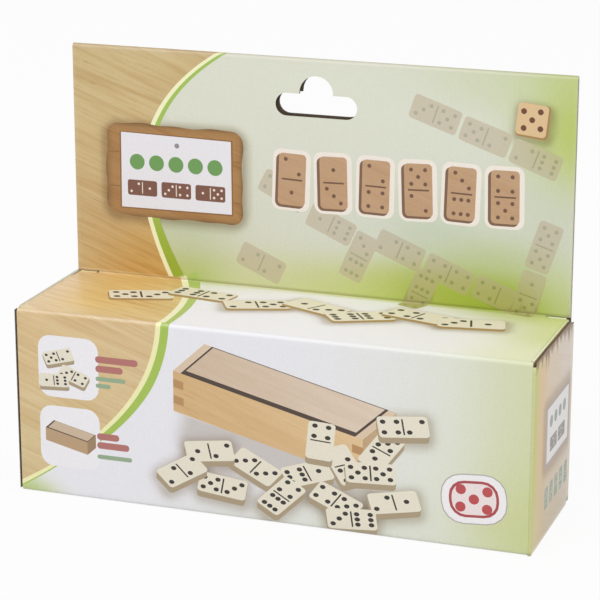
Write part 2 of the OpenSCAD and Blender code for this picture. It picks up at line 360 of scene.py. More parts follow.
def on_sheet(panel, loop):
    """A loop drawn in a panel's own x and height, moved to the blank's x and s."""
    return np.asarray(loop, float) + [0.0, SHEET_AT.get(panel, 0.0)]


print("a rounded rectangle has", len(rounded(20.0, 10.0, 2.0)), "points, an oval", len(oval(2.0, 2.0)))

# %% The hang slot's loop
LOBE_R, LOBE_AT = 4.3, np.array([11.7, 144.3])
HUMP_R, HUMP_AT, HUMP_FOOT = 6.6, (0.0, 149.0), 148.6


def slot_loop():
    """Hang slot: a lobe of 8.6 mm each side and a hump of 13.2 mm, in header x and z."""
    half = np.linspace(-QUARTER, QUARTER, 13)
    lobe, hump = circular(half) * LOBE_R, circular(half + QUARTER) * HUMP_R
    return np.concatenate([lobe + LOBE_AT, [[HUMP_R, HUMP_FOOT]], hump + HUMP_AT,
                           [[-HUMP_R, HUMP_FOOT]], -lobe + LOBE_AT * [-1, 1]])


print("slot loop", len(slot_loop()), "points, span",
      np.ptp(slot_loop(), axis=0).round(1).tolist(), "mm")

# %% [markdown]
# ## A printed board
# Real board is one sheet with inked paper outside, bare liner inside and brown cut edges.
# The ink could be an image, but a mesh that is cut along the edges of the print stays
# sharp at any size. So the blank's outline, its holes and all the printed shapes go into
# one triangulation, each triangle takes the topmost shape that covers it, and each
# corner of it the colour that the shape's ink has there. The sheet is then folded,
# given its thickness and closed along its cut edges.


# %% Triangles of a printed blank
GRID_STEP = 2.0
WELD = 1e-4


def subdivided(loop, step):
    """The loop with points added, so that no edge of it is longer than `step`: edge by
    edge a + (b - a) k / n. Without them an ink would run straight from end to end."""
    loop = np.asarray(loop, float)
    ends = np.roll(loop, -1, axis=0)
    counts = np.maximum(np.ceil(np.linalg.norm(ends - loop, axis=1) / step), 1).astype(int)
    return np.concatenate([a + (b - a) * np.arange(n)[:, None] / n for a, b, n in zip(loop, ends, counts)])


def cut_blank(outline, holes, layers, creases=(), extra=(), step=GRID_STEP):
    """Constrained Delaunay triangles of a blank, without its holes, and for each
    triangle the last of `layers` that covers it, or -1. Rows of points lie along the
    creases, `extra` are loops of points, and a grid of `step` fills the rest."""
    outline = subdivided(outline, step)
    low, high = outline.min(0), outline.max(0)
    loops = [leftward(loop) for loop in [outline, *holes, *(loop for loop, ink in layers)]]
    starts = np.concatenate([[0], np.cumsum([len(loop) for loop in loops])])
    spans = [list(range(a, b)) for a, b in zip(starts[:-1], starts[1:])]
    cells = np.maximum(np.ceil((high - low) / step), 1).astype(int)
    across, up = (np.linspace(low[k], high[k], cells[k] + 1) for k in (0, 1))
    gx, gy = np.meshgrid(across[1:-1], up[1:-1])
    grid = np.column_stack([gx.ravel(), gy.ravel()])
    rows = [np.column_stack([across, np.full(len(across), s)]) for s in creases]
    edges = [(int(starts[-1]) + k * len(across) + i, int(starts[-1]) + k * len(across) + i + 1)
             for k in range(len(rows)) for i in range(len(across) - 1)]
    points = np.concatenate(loops + rows + [grid] + [np.asarray(e, float) for e in extra])
    flat, _, faces, _, _, origin = geometry.delaunay_2d_cdt(
        [Vector(p) for p in points.tolist()], edges, spans, 0, WELD, True)
    flat = np.array([tuple(v) for v in flat])
    first_layer = 1 + len(holes)
    kept = [(face, max(covers) - first_layer) for face, covers in zip(faces, origin)
            if 0 in covers and not any(1 <= c < first_layer for c in covers)]
    tris, tops = np.array([face for face, top in kept]), np.array([top for face, top in kept])
    used = np.unique(tris)
    renumber = np.zeros(len(flat), int)
    renumber[used] = np.arange(len(used))
    return flat[used], renumber[tris], np.maximum(tops, -1)


def ink_at(ink, x, s):
    """Four columns, sRGB and grain share, of an ink: a hex colour, or a function of the
    blank's x and s."""
    inked = np.append(srgb(ink), 0.0) if isinstance(ink, str) else ink(x, s)
    return np.broadcast_to(inked, (len(x), 4))


def corner_inks(flat, tris, tops, ground, layers, shade=None):
    """Linear colour and grain share at every triangle corner. `shade` is a function of
    x and s that every ink is multiplied by."""
    colours = np.zeros((len(tris), 3, 4))
    for k, ink in enumerate([ground, *(ink for loop, ink in layers)], -1):
        here = tops == k
        if here.any():
            at = flat[tris[here]].reshape(-1, 2)
            colours[here] = ink_at(ink, *at.T).reshape(-1, 3, 4)
    if shade is not None:
        at = flat[tris].reshape(-1, 2)
        colours[..., :3] *= shade(*at.T).reshape(-1, 3, 3)
    colours[..., :3] = linear(colours[..., :3])
    return colours


print("grid step", GRID_STEP, "mm")

# %% A closed board from its triangles
SLOT_HALF, SLOT_BAND = 20.0, np.array([138.0, 157.0])


def inked_piece(name, mesh, colours, worn, at, finishes):
    """A piece that keeps, at every corner of its mesh, its ink, how worn it is, and its
    place on the blank as a UV map in metres."""
    for key, kind, field, values in (("ink", "FLOAT_COLOR", "color", colours),
                                     ("rub", "FLOAT", "value", worn)):
        stored = mesh.attributes.new(key, kind, "CORNER")
        stored.data.foreach_set(field, values.astype(np.float32).ravel())
    mesh.uv_layers.new(name="blank").data.foreach_set("uv", (at / 1000).astype(np.float32).ravel())
    for finish in finishes:
        mesh.materials.append(finish)
    mesh.validate()
    return in_scene(name, mesh)


def board_mesh(name, flat, tris, colours, place, finishes, rub=None, dark_rim=None, thickness=BOARD):
    """Outer sheet at depth 0, inner sheet at the board's thickness, and a wall of cut
    edge along every border: an edge that only one triangle has. The finishes are those
    of outer sheet, inner sheet and cut edge. Between the two heights of `dark_rim` lies
    the hang slot, whose edge has the fourth, a finish darkened with painted shade."""
    count = len(flat)
    points = np.concatenate([place(flat, 0.0), place(flat, thickness)]) / 1000
    half = np.concatenate([tris[:, [0, 1]], tris[:, [1, 2]], tris[:, [2, 0]]])
    border = half[~np.isin(half @ [count, 1], half @ [1, count])]
    a, b = border.T
    wall = np.concatenate([np.stack([b, a, a + count], 1), np.stack([b, a + count, b + count], 1)])
    faces = np.concatenate([tris, tris[:, ::-1] + count, wall])
    mesh = bpy.data.meshes.new(name)
    mesh.vertices.add(len(points))
    mesh.vertices.foreach_set("co", points.ravel())
    mesh.loops.add(faces.size)
    mesh.loops.foreach_set("vertex_index", faces.ravel())
    mesh.polygons.add(len(faces))
    mesh.polygons.foreach_set("loop_start", np.arange(len(faces)) * 3)
    mesh.update(calc_edges=True)
    kind = np.repeat([0, 1, 2], [len(tris), len(tris), len(wall)])
    if dark_rim is not None:
        in_slot = (np.abs(flat[a, 0]) < SLOT_HALF) & (flat[a, 1] > dark_rim[0]) & (flat[a, 1] < dark_rim[1])
        kind[2 * len(tris):] += np.tile(in_slot, 2)
    mesh.polygons.foreach_set("material_index", kind.astype(np.int32))
    mesh.polygons.foreach_set("use_smooth", kind < 2)
    ends = np.zeros(len(mesh.edges) * 2, np.int32)
    mesh.edges.foreach_get("vertices", ends)
    ends, rim = np.sort(ends.reshape(-1, 2) % count, axis=1), np.sort(border, axis=1)
    sharp = np.isin(ends @ [count, 1], rim @ [count, 1])
    mesh.attributes.new("sharp_edge", "BOOLEAN", "EDGE").data.foreach_set("value", sharp)
    inks, worn = np.ones((len(faces), 3, 4)), np.zeros(faces.shape)
    inks[:len(tris)] = colours
    at = np.concatenate([flat, flat])[faces]
    if rub is not None:
        worn[:len(tris)] = rub(at[:len(tris), :, 0], at[:len(tris), :, 1])
    return inked_piece(name, mesh, inks, worn, at, finishes)


def printed_board(name, blank, layers, inked, place, finishes, shade=None, **edge):
    """A closed board from the points, triangles and top layers of its blank."""
    return board_mesh(name, *blank[:2], corner_inks(*blank, inked, layers, shade), place, finishes, **edge)


print("boards are closed: two sheets and a wall of cut edge")

# %% [markdown]
# ## Board materials
# The outside is paper printed by offset and sealed with a satin varnish: broad soft
# highlights, a hint of fibre, and paler paper where folds are rubbed. The printed wood
# is a pattern in the ink, so it has colour and no relief. Its streaks run 20 degrees
# down to the right. Inside is bare kraft liner, and the cut edges show the fine flute.

# %% Printed paper under satin varnish
GRAIN_SLOPE = math.radians(20)
STREAK_LENGTH, STREAK_WIDTH = 0.024, 0.0012
# A noise of scale 2400 has clumps of 0.4 mm. Paper fibres are finer, and are drawn that
# coarse so that they show. Scuffs are 2.4 mm wide, and the flute's pitch is 1.6 mm.
FIBRE_SCALE, SCUFF_SCALE = 2400.0, 420.0
FLUTE_PITCH = 0.0016
FLUTES = {"wave_type": "BANDS", "bands_direction": "X", "Scale": math.pi / (10 * FLUTE_PITCH)}
MIXED = {"data_type": "RGBA", "blend_type": "MIX"}
TIMES = {"data_type": "RGBA", "blend_type": "MULTIPLY"}


def streaks(tree, vector, length, width, detail=4.0, distortion=0.5):
    """Noise drawn out along X: the vector is divided by a streak's length and width."""
    scaled = node(tree, "Mapping", [("Vector", vector)], Scale=(1 / length, 1 / width, 1 / width))
    return node(tree, "TexNoise", [("Vector", scaled)], Scale=1.0, Detail=detail, Roughness=0.55,
                Distortion=distortion)


def wood_print(tree):
    """The grain of printed wood, as a tint: fine and broad streaks and a few dark
    dashes, all along the sheet's grain."""
    sheet = node(tree, "UVMap", uv_map="blank")
    sloped = node(tree, "Mapping", [("Vector", sheet)], Rotation=(0.0, 0.0, GRAIN_SLOPE))
    fine = streaks(tree, sloped, STREAK_LENGTH, STREAK_WIDTH)
    broad = streaks(tree, sloped, 3 * STREAK_LENGTH, 5 * STREAK_WIDTH, 2.0, 1.2)
    dashes = streaks(tree, sloped, STREAK_LENGTH / 2, STREAK_WIDTH / 2, 2.0, 0.3)
    fine_tone = node(tree, "ValToRGB", [("Fac", fine)],
                     ((0.28, "#F0E7D8"), (0.50, "#FBF9F4"), (0.72, "#FFFFFF")))
    broad_tone = node(tree, "ValToRGB", [("Fac", broad)], ((0.30, "#F1E8DA"), (0.60, "#FFFFFF")))
    dash_tone = node(tree, "ValToRGB", [("Fac", dashes)], ((0.25, "#D2B88E"), (0.33, "#FFFFFF")))
    grain = node(tree, "Mix", [(0, 1.0), (6, fine_tone), (7, broad_tone)], **TIMES)
    return node(tree, "Mix", [(0, 0.8), (6, grain.outputs[2]), (7, dash_tone)], **TIMES).outputs[2]


def printed_paper(tree):
    """Offset inks on coated paper with a satin dispersion varnish. The ink's alpha says
    how much wood grain it has, and rubbed places show bare paper in patches."""
    ink = node(tree, "Attribute", attribute_name="ink").outputs
    rub = node(tree, "Attribute", attribute_name="rub").outputs
    place = node(tree, "TexCoord").outputs["Object"]
    inked = node(tree, "Mix", [(0, ink["Alpha"]), (6, ink["Color"]), (7, wood_print(tree))], **TIMES)
    fibre = node(tree, "TexNoise", [("Vector", place)], Scale=FIBRE_SCALE, Detail=3.0, Roughness=0.6)
    paper = node(tree, "ValToRGB", [("Fac", fibre)], ((0.35, "#F9F9F8"), (0.62, "#FFFFFF")))
    on_paper = node(tree, "Mix", [(0, 1.0), (6, inked.outputs[2]), (7, paper)], **TIMES)
    scuffs = node(tree, "TexNoise", [("Vector", place)], Scale=SCUFF_SCALE, Detail=5.0, Roughness=0.7)
    patchy = node(tree, "MapRange", [("Value", scuffs)], From_Min=0.35, From_Max=0.65, To_Min=0.7,
                  To_Max=1.2)
    bare = node(tree, "Math", [(0, rub["Fac"]), (1, patchy)], operation="MULTIPLY")
    seen = node(tree, "Mix", [(0, bare), (6, on_paper.outputs[2]), (7, paint("#F4F0E6"))], **MIXED)
    sheen = node(tree, "MapRange", [("Value", fibre)], From_Min=0.3, From_Max=0.7, To_Min=0.34,
                 To_Max=0.46)
    flutes = node(tree, "TexWave", [("Vector", place)], Distortion=1.5, Detail=1.0, **FLUTES)
    relief = node(tree, "Math", [(0, flutes.outputs[1]), (1, fibre)], operation="ADD")
    bump = node(tree, "Bump", [("Height", relief)], Strength=0.05, Distance=0.0002)
    return node(tree, "BsdfPrincipled",
                [("Base Color", seen.outputs[2]), ("Roughness", sheen), ("Normal", bump)], IOR=1.48)


PRINTED = material_of("offset_print_satin_varnish", printed_paper)
print("outside:", PRINTED.name, "with", len(PRINTED.node_tree.nodes), "nodes")


# %% Kraft liners and cut edges
def kraft(tree, dark, light, clump, flute=False):
    """Unbleached kraft: long brown fibres, quite matt. They are drawn as clumps about a
    millimetre wide, which is as coarse as they need to be to show. On a cut edge the
    flute shows as pale ribs, with painted shade in the hollows between them."""
    place = node(tree, "TexCoord").outputs["Object"]
    fibre = node(tree, "TexNoise", [("Vector", place)], Scale=1 / clump, Detail=5.0, Roughness=0.7)
    colour = node(tree, "ValToRGB", [("Fac", fibre)], ((0.32, dark), (0.68, light)))
    if flute:
        ribs = node(tree, "TexWave", [("Vector", place)], Distortion=2.0, Detail=2.0, **FLUTES)
        hollow_shade = node(tree, "ValToRGB", [("Fac", ribs.outputs[1])], ((0.25, "#8C7355"), (0.60, "#FFFFFF")))
        colour = node(tree, "Mix", [(0, 0.75), (6, colour), (7, hollow_shade)], **TIMES).outputs[2]
    bump = node(tree, "Bump", [("Height", fibre)], Strength=0.25, Distance=0.0001)
    return node(tree, "BsdfPrincipled", [("Base Color", colour), ("Normal", bump)], Roughness=0.82,
                IOR=1.45)


LINER = material_of("kraft_liner", kraft, "#8C7657", "#AA9270", 0.0012)
CUT_EDGE = material_of("kraft_cut_edge", kraft, "#6B5840", "#93795A", 0.0008, True)
PALE_EDGE = material_of("clean_cut_edge", kraft, "#B7B09A", "#D4CFBC", 0.0008)
# Painted shade: the slot's cut edge and the back panel's whole inner liner are dark copies of kraft. They
# stand for the shade in the narrow gap between the header's two layers.
SHADED_SLOT_EDGE = material_of("painted_shade_slot_edge", kraft, "#33291F", "#54452F", 0.0008)
SHADED_LINER = material_of("painted_shade_inner_liner", kraft, "#40352A", "#5A4C3A", 0.0012)
BOARD_FINISHES = (PRINTED, LINER, CUT_EDGE)
SHEET_FINISHES = (PRINTED, LINER, PALE_EDGE, SHADED_SLOT_EDGE)
BACK_FINISHES = (PRINTED, SHADED_LINER, PALE_EDGE, SHADED_SLOT_EDGE)
print("bare board:", [m.name for m in (LINER, CUT_EDGE, PALE_EDGE, SHADED_SLOT_EDGE, SHADED_LINER)])

# %% [markdown]
# ## Grounds of the print
# Most of the sheet is a pale sage ground with soft yellow-green lights. It could be a
# picture, but it is only a few airbrushed patches. Each patch is a colour with a centre
# and a spread, and a point's colour is the mean of all, weighted by a bell curve.

# %% The patches: centre, spread and colour
# The front's and the header's grounds are print, toned a few steps darker than the top's: in part painted
# shade, for the lesser light on the upright panels.
HEADER_PATCHES = [
    (-25, 150, 60, 30, "#DADCCC"), (30, 140, 60, 30, "#D8DACB"), (60, 105, 45, 18, "#CDD3C3"),
    (-15, 100, 45, 22, "#D4D6C6"), (-50, 90, 14, 12, "#BFC9A4"), (-25, 76, 40, 9, "#CDCC9E"),
    (-50, 74, 12, 8, "#A9BC50"), (20, 73, 46, 10, "#BFCB6E"), (60, 75, 32, 11, "#8BA00C"),
    (68, 92, 20, 7, "#B2C082"), (46, 100, 14, 7, "#BAC7AC"), (96, 80, 12, 14, "#CAD1A8"),
    (99, 145, 16, 25, "#AABD48"), (100, 105, 12, 12, "#CFD0C2"), (88, 112, 13, 16, "#CACFBE"),
    (78, 158, 30, 10, "#C6CFA6")]
TOP_PATCHES = [
    (-20, 0, 60, 40, "#F3F1F5"), (30, -10, 50, 40, "#F1F0F3"), (62, 0, 22, 26, "#EFEDEA"),
    (99, 2, 20, 14, "#CDD488"), (92, -24, 18, 14, "#E2E5B8"), (76, 25, 18, 8, "#BEC872"),
    (98, 24, 20, 10, "#CAD484"), (-45, 26, 22, 6, "#DEE1C4")]
FRONT_PATCHES = [
    (-35, 30, 70, 60, "#E7E6EC"), (20, 60, 40, 30, "#E5E4E8"), (62, 40, 28, 50, "#DCDFD2"),
    (98, 50, 22, 40, "#CDD2A4"), (100, 8, 22, 20, "#C1C982"), (30, 0, 50, 8, "#DADECE"),
    (-99, 0, 11, 4.5, "#A9C05A")]
FLAP_PATCHES = [
    (0, 36, 5, 60, "#BDBC60"), (11, 36, 5, 60, "#D3B27E"), (24, 50, 14, 40, "#D3C0A8"),
    (30, 5, 24, 20, "#C3B498"), (50, 40, 16, 60, "#D2C7BC"), (4, 4, 8, 10, "#C9BF88")]
WOOD_HEADER = [
    (-90, 150, 40, 40, "#D0BC8E"), (-75, 120, 40, 30, "#CFB584"), (-95, 95, 20, 25, "#D0B485"),
    (-70, 80, 20, 14, "#CFA45A")]
WOOD_TOP = [
    (-98, 0, 12, 50, "#E4CDAC"), (-75, 10, 20, 40, "#E7C680"), (-55, -10, 16, 30, "#E2C68C"),
    (-80, -28, 30, 8, "#EAD6AC")]
WOOD_FRONT = [(-80, 60, 40, 30, "#DDC396"), (-90, 20, 30, 30, "#DAC69B"), (-50, 50, 16, 20, "#DAC298")]
patch_lists = (HEADER_PATCHES, TOP_PATCHES, FRONT_PATCHES, FLAP_PATCHES, WOOD_HEADER, WOOD_TOP, WOOD_FRONT)
print("patches:", sum(len(patches) for patches in patch_lists))

# %% Airbrushed inks
WARM_SHADE = np.array([0.85, 1.0, 1.2])


def airbrush(x, y, patches):
    """Colour as the weighted mean of patches (x, y, spread x, spread y, hex), with the
    weight exp(-(dx/sx)^2 - (dy/sy)^2), plus a fourth column of no wood grain."""
    total, weights = 0.0, 1e-9
    for px, py, sx, sy, ink in patches:
        weight = np.exp(-((x - px) / sx) ** 2 - ((y - py) / sy) ** 2) + 1e-7
        total = total + weight[:, None] * srgb(ink)
        weights = weights + weight
    return np.column_stack([total / np.broadcast_to(weights, len(x))[:, None], np.zeros(len(x))])


def shaded(inked, x, y, shadows):
    """Darkens an ink below soft shadows. Each is (centre x, y, width, height, radius,
    degrees, spread, strength): 1 - strength exp(-(d/spread)^2), where d is the distance
    outside a turned rounded rectangle, times a warm tint."""
    for cx, cy, w, h, r, degrees, spread, strength in shadows:
        a = math.radians(degrees)
        u = (x - cx) * math.cos(a) + (y - cy) * math.sin(a)
        v = -(x - cx) * math.sin(a) + (y - cy) * math.cos(a)
        du, dv = np.abs(u) - w / 2 + r, np.abs(v) - h / 2 + r
        d = np.hypot(np.maximum(du, 0), np.maximum(dv, 0)) + np.minimum(np.maximum(du, dv), 0) - r
        weight = strength * np.exp(-(np.maximum(d, 0) / spread) ** 2)
        inked[:, :3] *= 1 - weight[:, None] * WARM_SHADE
    return inked


def ground(panel, patches, shadows=(), grain=0.0):
    """An ink of the blank's x and s for one panel: its patches, shadows and wood grain."""
    def ink(x, s):
        """The ground in the panel's own x and height."""
        y = s - SHEET_AT.get(panel, 0.0)
        inked = shaded(airbrush(x, y, patches), x, y, shadows)
        inked[:, 3] = grain
        return inked
    return ink


def blended(first, second, share, grain=0.0):
    """Four columns of two hex colours mixed by an array of shares, and a grain share."""
    share = np.asarray(share)[:, None]
    return np.column_stack([srgb(first) * (1 - share) + srgb(second) * share,
                            np.full(len(share), grain)])


def tinted(inked, tint, share):
    """An ink's colours mixed with a hex tint by a share, its grain kept."""
    inked[:, :3] = inked[:, :3] * (1 - share) + srgb(tint) * share
    return inked


def ghost(panel, patches, tint, share):
    """A see-through ink: a panel's ground mixed with a tint by a share."""
    below = ground(panel, patches)
    return lambda x, s: tinted(below(x, s), tint, share)


sample = ground("front", FRONT_PATCHES)(np.zeros(1), np.full(1, CARTON_H / 2))
print("the middle of the front:", sample.round(3).tolist())

# %% [markdown]
# ## Printed dominoes and a printed box
# The print shows what is inside: cream dominoes and a plain wooden box. One function
# draws a domino as flat shapes: a side below the face, the face, the bar and the pips,
# turned and foreshortened as the picture needs. No word or mark is printed anywhere.

# %% Drawing a domino
PIP_SPOTS = ((), ((0, 0),), ((-1, -1), (1, 1)), ((-1, -1), (0, 0), (1, 1)),
             ((-1, -1), (-1, 1), (1, -1), (1, 1)), ((-1, -1), (-1, 1), (0, 0), (1, -1), (1, 1)),
             ((-1, -1), (-1, 0), (-1, 1), (1, -1), (1, 0), (1, 1)))
CREAM_INKS = ("#E4DDCB", "#A7967B", "#2F2A26")


def shape(panel, loop, ink):
    """One layer of print: a loop drawn on a panel, and its ink."""
    return on_sheet(panel, loop), ink


def card(panel, w, h, r, at, ink, degrees=0.0):
    """A rounded rectangle of ink."""
    return shape(panel, placed(rounded(w, h, r), at, degrees), ink)


def disc(panel, width, at, ink, count=12):
    """A round spot of ink."""
    return shape(panel, oval(width, width, count) + at, ink)


def hull(loop):
    """The convex hull of a loop of points."""
    return loop[geometry.convex_hull_2d([Vector(p) for p in loop.tolist()])]


def drawn_domino(panel, centre, size, degrees, numbers, lean=1.0, drop=(0.0, 0.0), inks=CREAM_INKS,
                 pip=0.17):
    """Layers of one printed domino on a panel. `drop` moves the face's outline to where
    it meets the table, which draws the side. Its pips are `pip` of its width wide, and
    lie on a grid of a quarter of its width round the middle of each half."""
    length, width = size
    face_ink, side_ink, pip_ink = inks
    face = placed(rounded(length, width, width * 0.14, 3), centre, degrees, lean)
    bar = placed(rounded(width * 0.06, width * 0.76, width * 0.02, 1), centre, degrees, lean)
    layers = [shape(panel, hull(np.concatenate([face, face + drop])), side_ink)] if any(drop) else []
    layers += [shape(panel, face, face_ink), shape(panel, bar, pip_ink)]
    a = math.radians(degrees)
    for half, number in zip((-0.25, 0.25), numbers):
        for spot in PIP_SPOTS[number]:
            u, v = half * length + spot[0] * width * 0.25, spot[1] * width * 0.25
            at = (centre[0] + u * math.cos(a) - v * math.sin(a),
                  centre[1] + (u * math.sin(a) + v * math.cos(a)) * lean)
            layers.append(shape(panel, placed(oval(width * pip, width * pip, 8), at, degrees, lean), pip_ink))
    return layers


def drawn_dominoes(panel, size, rows, **look):
    """Layers of dominoes of one size. Each row is (x, y, degrees, number, number)."""
    return [layer for x, y, degrees, *pair in rows
            for layer in drawn_domino(panel, (x, y), size, degrees, pair, **look)]


print("one domino", len(drawn_domino("front", (0, 0), (20, 10), 0, (3, 4))), "shapes")

# %% [markdown]
# ## The curve across the sheet
# A leaf-green curve with a cream edge runs down the header, over the top and down the
# front, and parts the printed wood from the pale ground. One curve in space could be
# projected on the folded carton, but the printer draws it flat, panel by panel, so here
# each panel has its own Bezier curve that meets the next one at the fold.


# %% Curves that part the wood print from the pale ground
def wood_side(curve, corners):
    """Closed loop of a curve and the sheet's corners on its wooden side."""
    return np.concatenate([curve, np.array(corners, float)])


def tapered(places, widths):
    """Width of a band at each of 60 points of its curve, read off at a few places."""
    return np.interp(np.linspace(0, 1, 60), places, widths)


SIGN_SHADOW = (-57.0, 113.5, 56, 36, 5, 0, 2.2, 0.26)
ink_wood_header = ground("header", WOOD_HEADER, [SIGN_SHADOW], grain=1.0)
ink_wood_top = ground("top", WOOD_TOP, grain=1.0)
ink_wood_front = ground("front", WOOD_FRONT, grain=0.8)
curve_header = bezier((-36.6, 163.5), (-81.6, 137.3), (-73.3, 100.9), (-59.3, 71.8))
curve_top = bezier((-55.0, 27.3), (-49.0, 14.0), (-41.0, 2.0), (-41.8, -29.4), 40)
curve_front = bezier((-42.4, 73.0), (-43.0, 38.0), (-79.0, 15.2), (-100.0, 3.2))
FRONT_PLACES = [0, 0.25, 0.50, 0.70, 0.85, 1]
FRONT_GREEN = tapered(FRONT_PLACES, [5.0, 4.8, 3.6, 1.3, 1.7, 1.9])
FRONT_CREAM = tapered(FRONT_PLACES, [1.8, 1.7, 1.3, 0.8, 1.2, 1.4])
HEADER_GREEN = tapered([0, 0.3, 0.6, 0.8, 1], [1.9, 3.2, 3.6, 4.8, 6.0])
HEADER_CREAM = tapered([0, 0.3, 1], [0.9, 1.5, 1.6])


def curve_green(x, s):
    """Leaf green beside the curve, yellower over the 30 mm down to 80 mm above the table."""
    return blended("#A0BE58", "#99AF30", np.clip((110 - s + SHEET_AT["header"]) / 30, 0, 1))


curve_layers = [
    shape("header", wood_side(curve_header, [(-100, 71.5), (-100, 166)]), ink_wood_header),
    shape("header", band(curve_header, 0.0, HEADER_GREEN), curve_green),
    shape("header", band(curve_header, -0.2, HEADER_CREAM), "#F2F0C6"),
    shape("top", wood_side(curve_top, [(-100, -29.4), (-100, 27.5)]), ink_wood_top),
    shape("top", band(curve_top, 0.0, np.linspace(7.0, 4.4, 40)), "#B1C66A"),
    shape("top", band(curve_top, -0.3, 2.2), "#F6F2CC"),
    shape("front", wood_side(curve_front, [(-100, 73)]), ink_wood_front),
    shape("front", band(curve_front, 0.0, FRONT_GREEN), "#A3BF55"),
    shape("front", band(curve_front, -0.2, FRONT_CREAM), "#EFEBB5"),
]
print("curves:", len(curve_layers), "shapes")

# %% [markdown]
# ## What is drawn on the sheet
# The header has a framed board, six upright dominoes, a chain of see-through ones and a
# small tile. The top has a row of lying dominoes. The front has a still life of the box
# and its dominoes, two plain labels and a badge. Layers are listed from the lowest to
# the topmost, and every edge is as a printer would trap it, one shape over another.

# %% Header print: the see-through chain and the framed board
SIGN_AT, SIGN_TURN = np.array([-57.2, 114.2]), -0.4
SIGN_W, SIGN_H = 55.8, 36.4
SIGN_INK_HALF = (28.1, 18.4)
SIGN_JOINT = "#8A6238"
GHOST_SIZE = (19, 9.4)


def ghost_inks(panel, patches):
    """Face, side and pip inks of a see-through domino on a panel."""
    return ghost(panel, patches, "#B7A48B", 0.50), "#B2AD97", ghost(panel, patches, "#7D745C", 0.48)


def hand_cut(loop, spacing=1.5, wave=0.35):
    """A loop with points every `spacing` and edges that wander: each point moves out by
    wave (sin(p/5.5) + sin(p/2.3 + 1)) / 1.5, where p is its distance along the loop."""
    closed = np.concatenate([loop, loop[:1]])
    run = np.concatenate([[0.0], np.cumsum(np.linalg.norm(np.diff(closed, axis=0), axis=1))])
    p = np.linspace(0, run[-1], int(run[-1] / spacing), endpoint=False)
    points = np.stack([np.interp(p, run, closed[:, k]) for k in (0, 1)], 1)
    step = np.roll(points, -1, axis=0) - np.roll(points, 1, axis=0)
    out = np.stack([step[:, 1], -step[:, 0]], 1) / np.linalg.norm(step, axis=1, keepdims=True)
    return points + out * (wave * (np.sin(p / 5.5) + np.sin(p / 2.3 + 1)) / 1.5)[:, None]


def frame_ink(x, s):
    """Brown stain, darker towards the frame's outside: a share of exp(-d/0.9 mm)."""
    z = s - SHEET_AT["header"]
    d = np.minimum(SIGN_INK_HALF[0] - np.abs(x - SIGN_AT[0]), SIGN_INK_HALF[1] - np.abs(z - SIGN_AT[1]))
    return blended("#AE8350", "#7A5C36", np.exp(-np.maximum(d, 0) / 0.9), 0.9)


header_layers = drawn_dominoes("header", GHOST_SIZE, (
    (46, 144.5, -19, 3, 5), (65, 137.5, -19, 5, 2), (84, 130.5, -20, 2, 6), (-13, 111, -27, 4, 1),
    (6, 99.5, -24, 1, 6), (17, 88, 66, 6, 3), (33, 92.0, -22, 2, 4), (52, 84.5, -22, 4, 4),
    (41, 75.5, 68, 4, 6), (71, 78.0, -20, 4, 0), (88, 98, 72, 5, 5), (82.5, 79, 74, 5, 1),
    (-22, 82, -24, 2, 2)), inks=ghost_inks("header", HEADER_PATCHES))
header_layers += [
    shape("header", placed(hand_cut(rounded(SIGN_W, SIGN_H, 5.0)), SIGN_AT, SIGN_TURN), frame_ink),
    shape("header", [(-79.8, 98.9), (-33.2, 99.3), (-33.3, 128.7), (-79.6, 129.3)], SIGN_JOINT)]
for x0, x1, z in ((-84.4, -79.8, 121.0), (-84.6, -79.8, 107.5), (-33.2, -29.6, 120.5), (-33.2, -29.6, 104.5)):
    cut = rounded(x1 - x0, 0.35, 0.15, 1) + ((x0 + x1) / 2, z)
    header_layers.append(shape("header", cut, SIGN_JOINT))
header_layers += [
    shape("header", [(-79.2, 99.4), (-33.8, 99.9), (-34.0, 128.2), (-79.0, 128.9)], "#E6E4EA"),
    disc("header", 2.0, (-56, 125), "#8D8A92")]
header_layers += [disc("header", 6.2, (-72.5 + 8.0 * k, 117.6), "#6B9A55", 20) for k in range(5)]
header_layers += drawn_dominoes("header", (12.2, 6.1), (
    (-70.5, 107.4, 0, 2, 1), (-56.5, 107.4, 0, 3, 4), (-42.5, 107.4, 0, 1, 5)),
    inks=("#7A5142", "#5F3D33", "#EADFD2"))
print("chain and framed board:", len(header_layers), "shapes")


# %% Header print: six upright dominoes and a small tile
def title_wood(x, s):
    """Pale brown wood print for the upright dominoes."""
    return blended("#BF9C7A", "#BF9C7A", np.zeros(len(x)), 0.45)


TITLE_AT, TITLE_STEP = np.array([-9.8, 115.4]), np.array([16.5, 0.0])
TITLE_PAIRS = ((1, 2), (3, 1), (4, 2), (2, 5), (6, 3), (5, 4))
TITLE_LEANS = (-2.0, 1.5, -1.0, 2.0, -1.5, 1.0)
for k, (pair, lean) in enumerate(zip(TITLE_PAIRS, TITLE_LEANS)):
    at = TITLE_AT + TITLE_STEP * k
    header_layers += [card("header", 15.0, 23.6, 3.2, at, "#EDE4DA", lean),
                      card("header", 11.6, 20.6, 2.2, at - 0.45, "#7A5B45", lean)]
    header_layers += drawn_domino("header", at + (0.25, 0.2), (20.0, 10.8), 90 + lean, pair,
                                  inks=(title_wood, title_wood, "#6E4F3C"), pip=0.15)
TILE_AT = np.array([82.2, 145.0])
header_layers += [card("header", 12.2, 12.6, 1.6, (82.6, 144.6), "#A5814F", -6),
                  card("header", 11.4, 11.8, 1.4, TILE_AT, "#DABB8E", -6)]
header_layers += [disc("header", 2.2, np.multiply(spot, 3.1) + TILE_AT, "#6B3F2A") for spot in PIP_SPOTS[5]]
HEADER_SHADOWS = [SIGN_SHADOW, (83.0, 143.4, 12, 12, 2, -6, 2.0, 0.22)]
print("header print:", len(header_layers), "shapes")

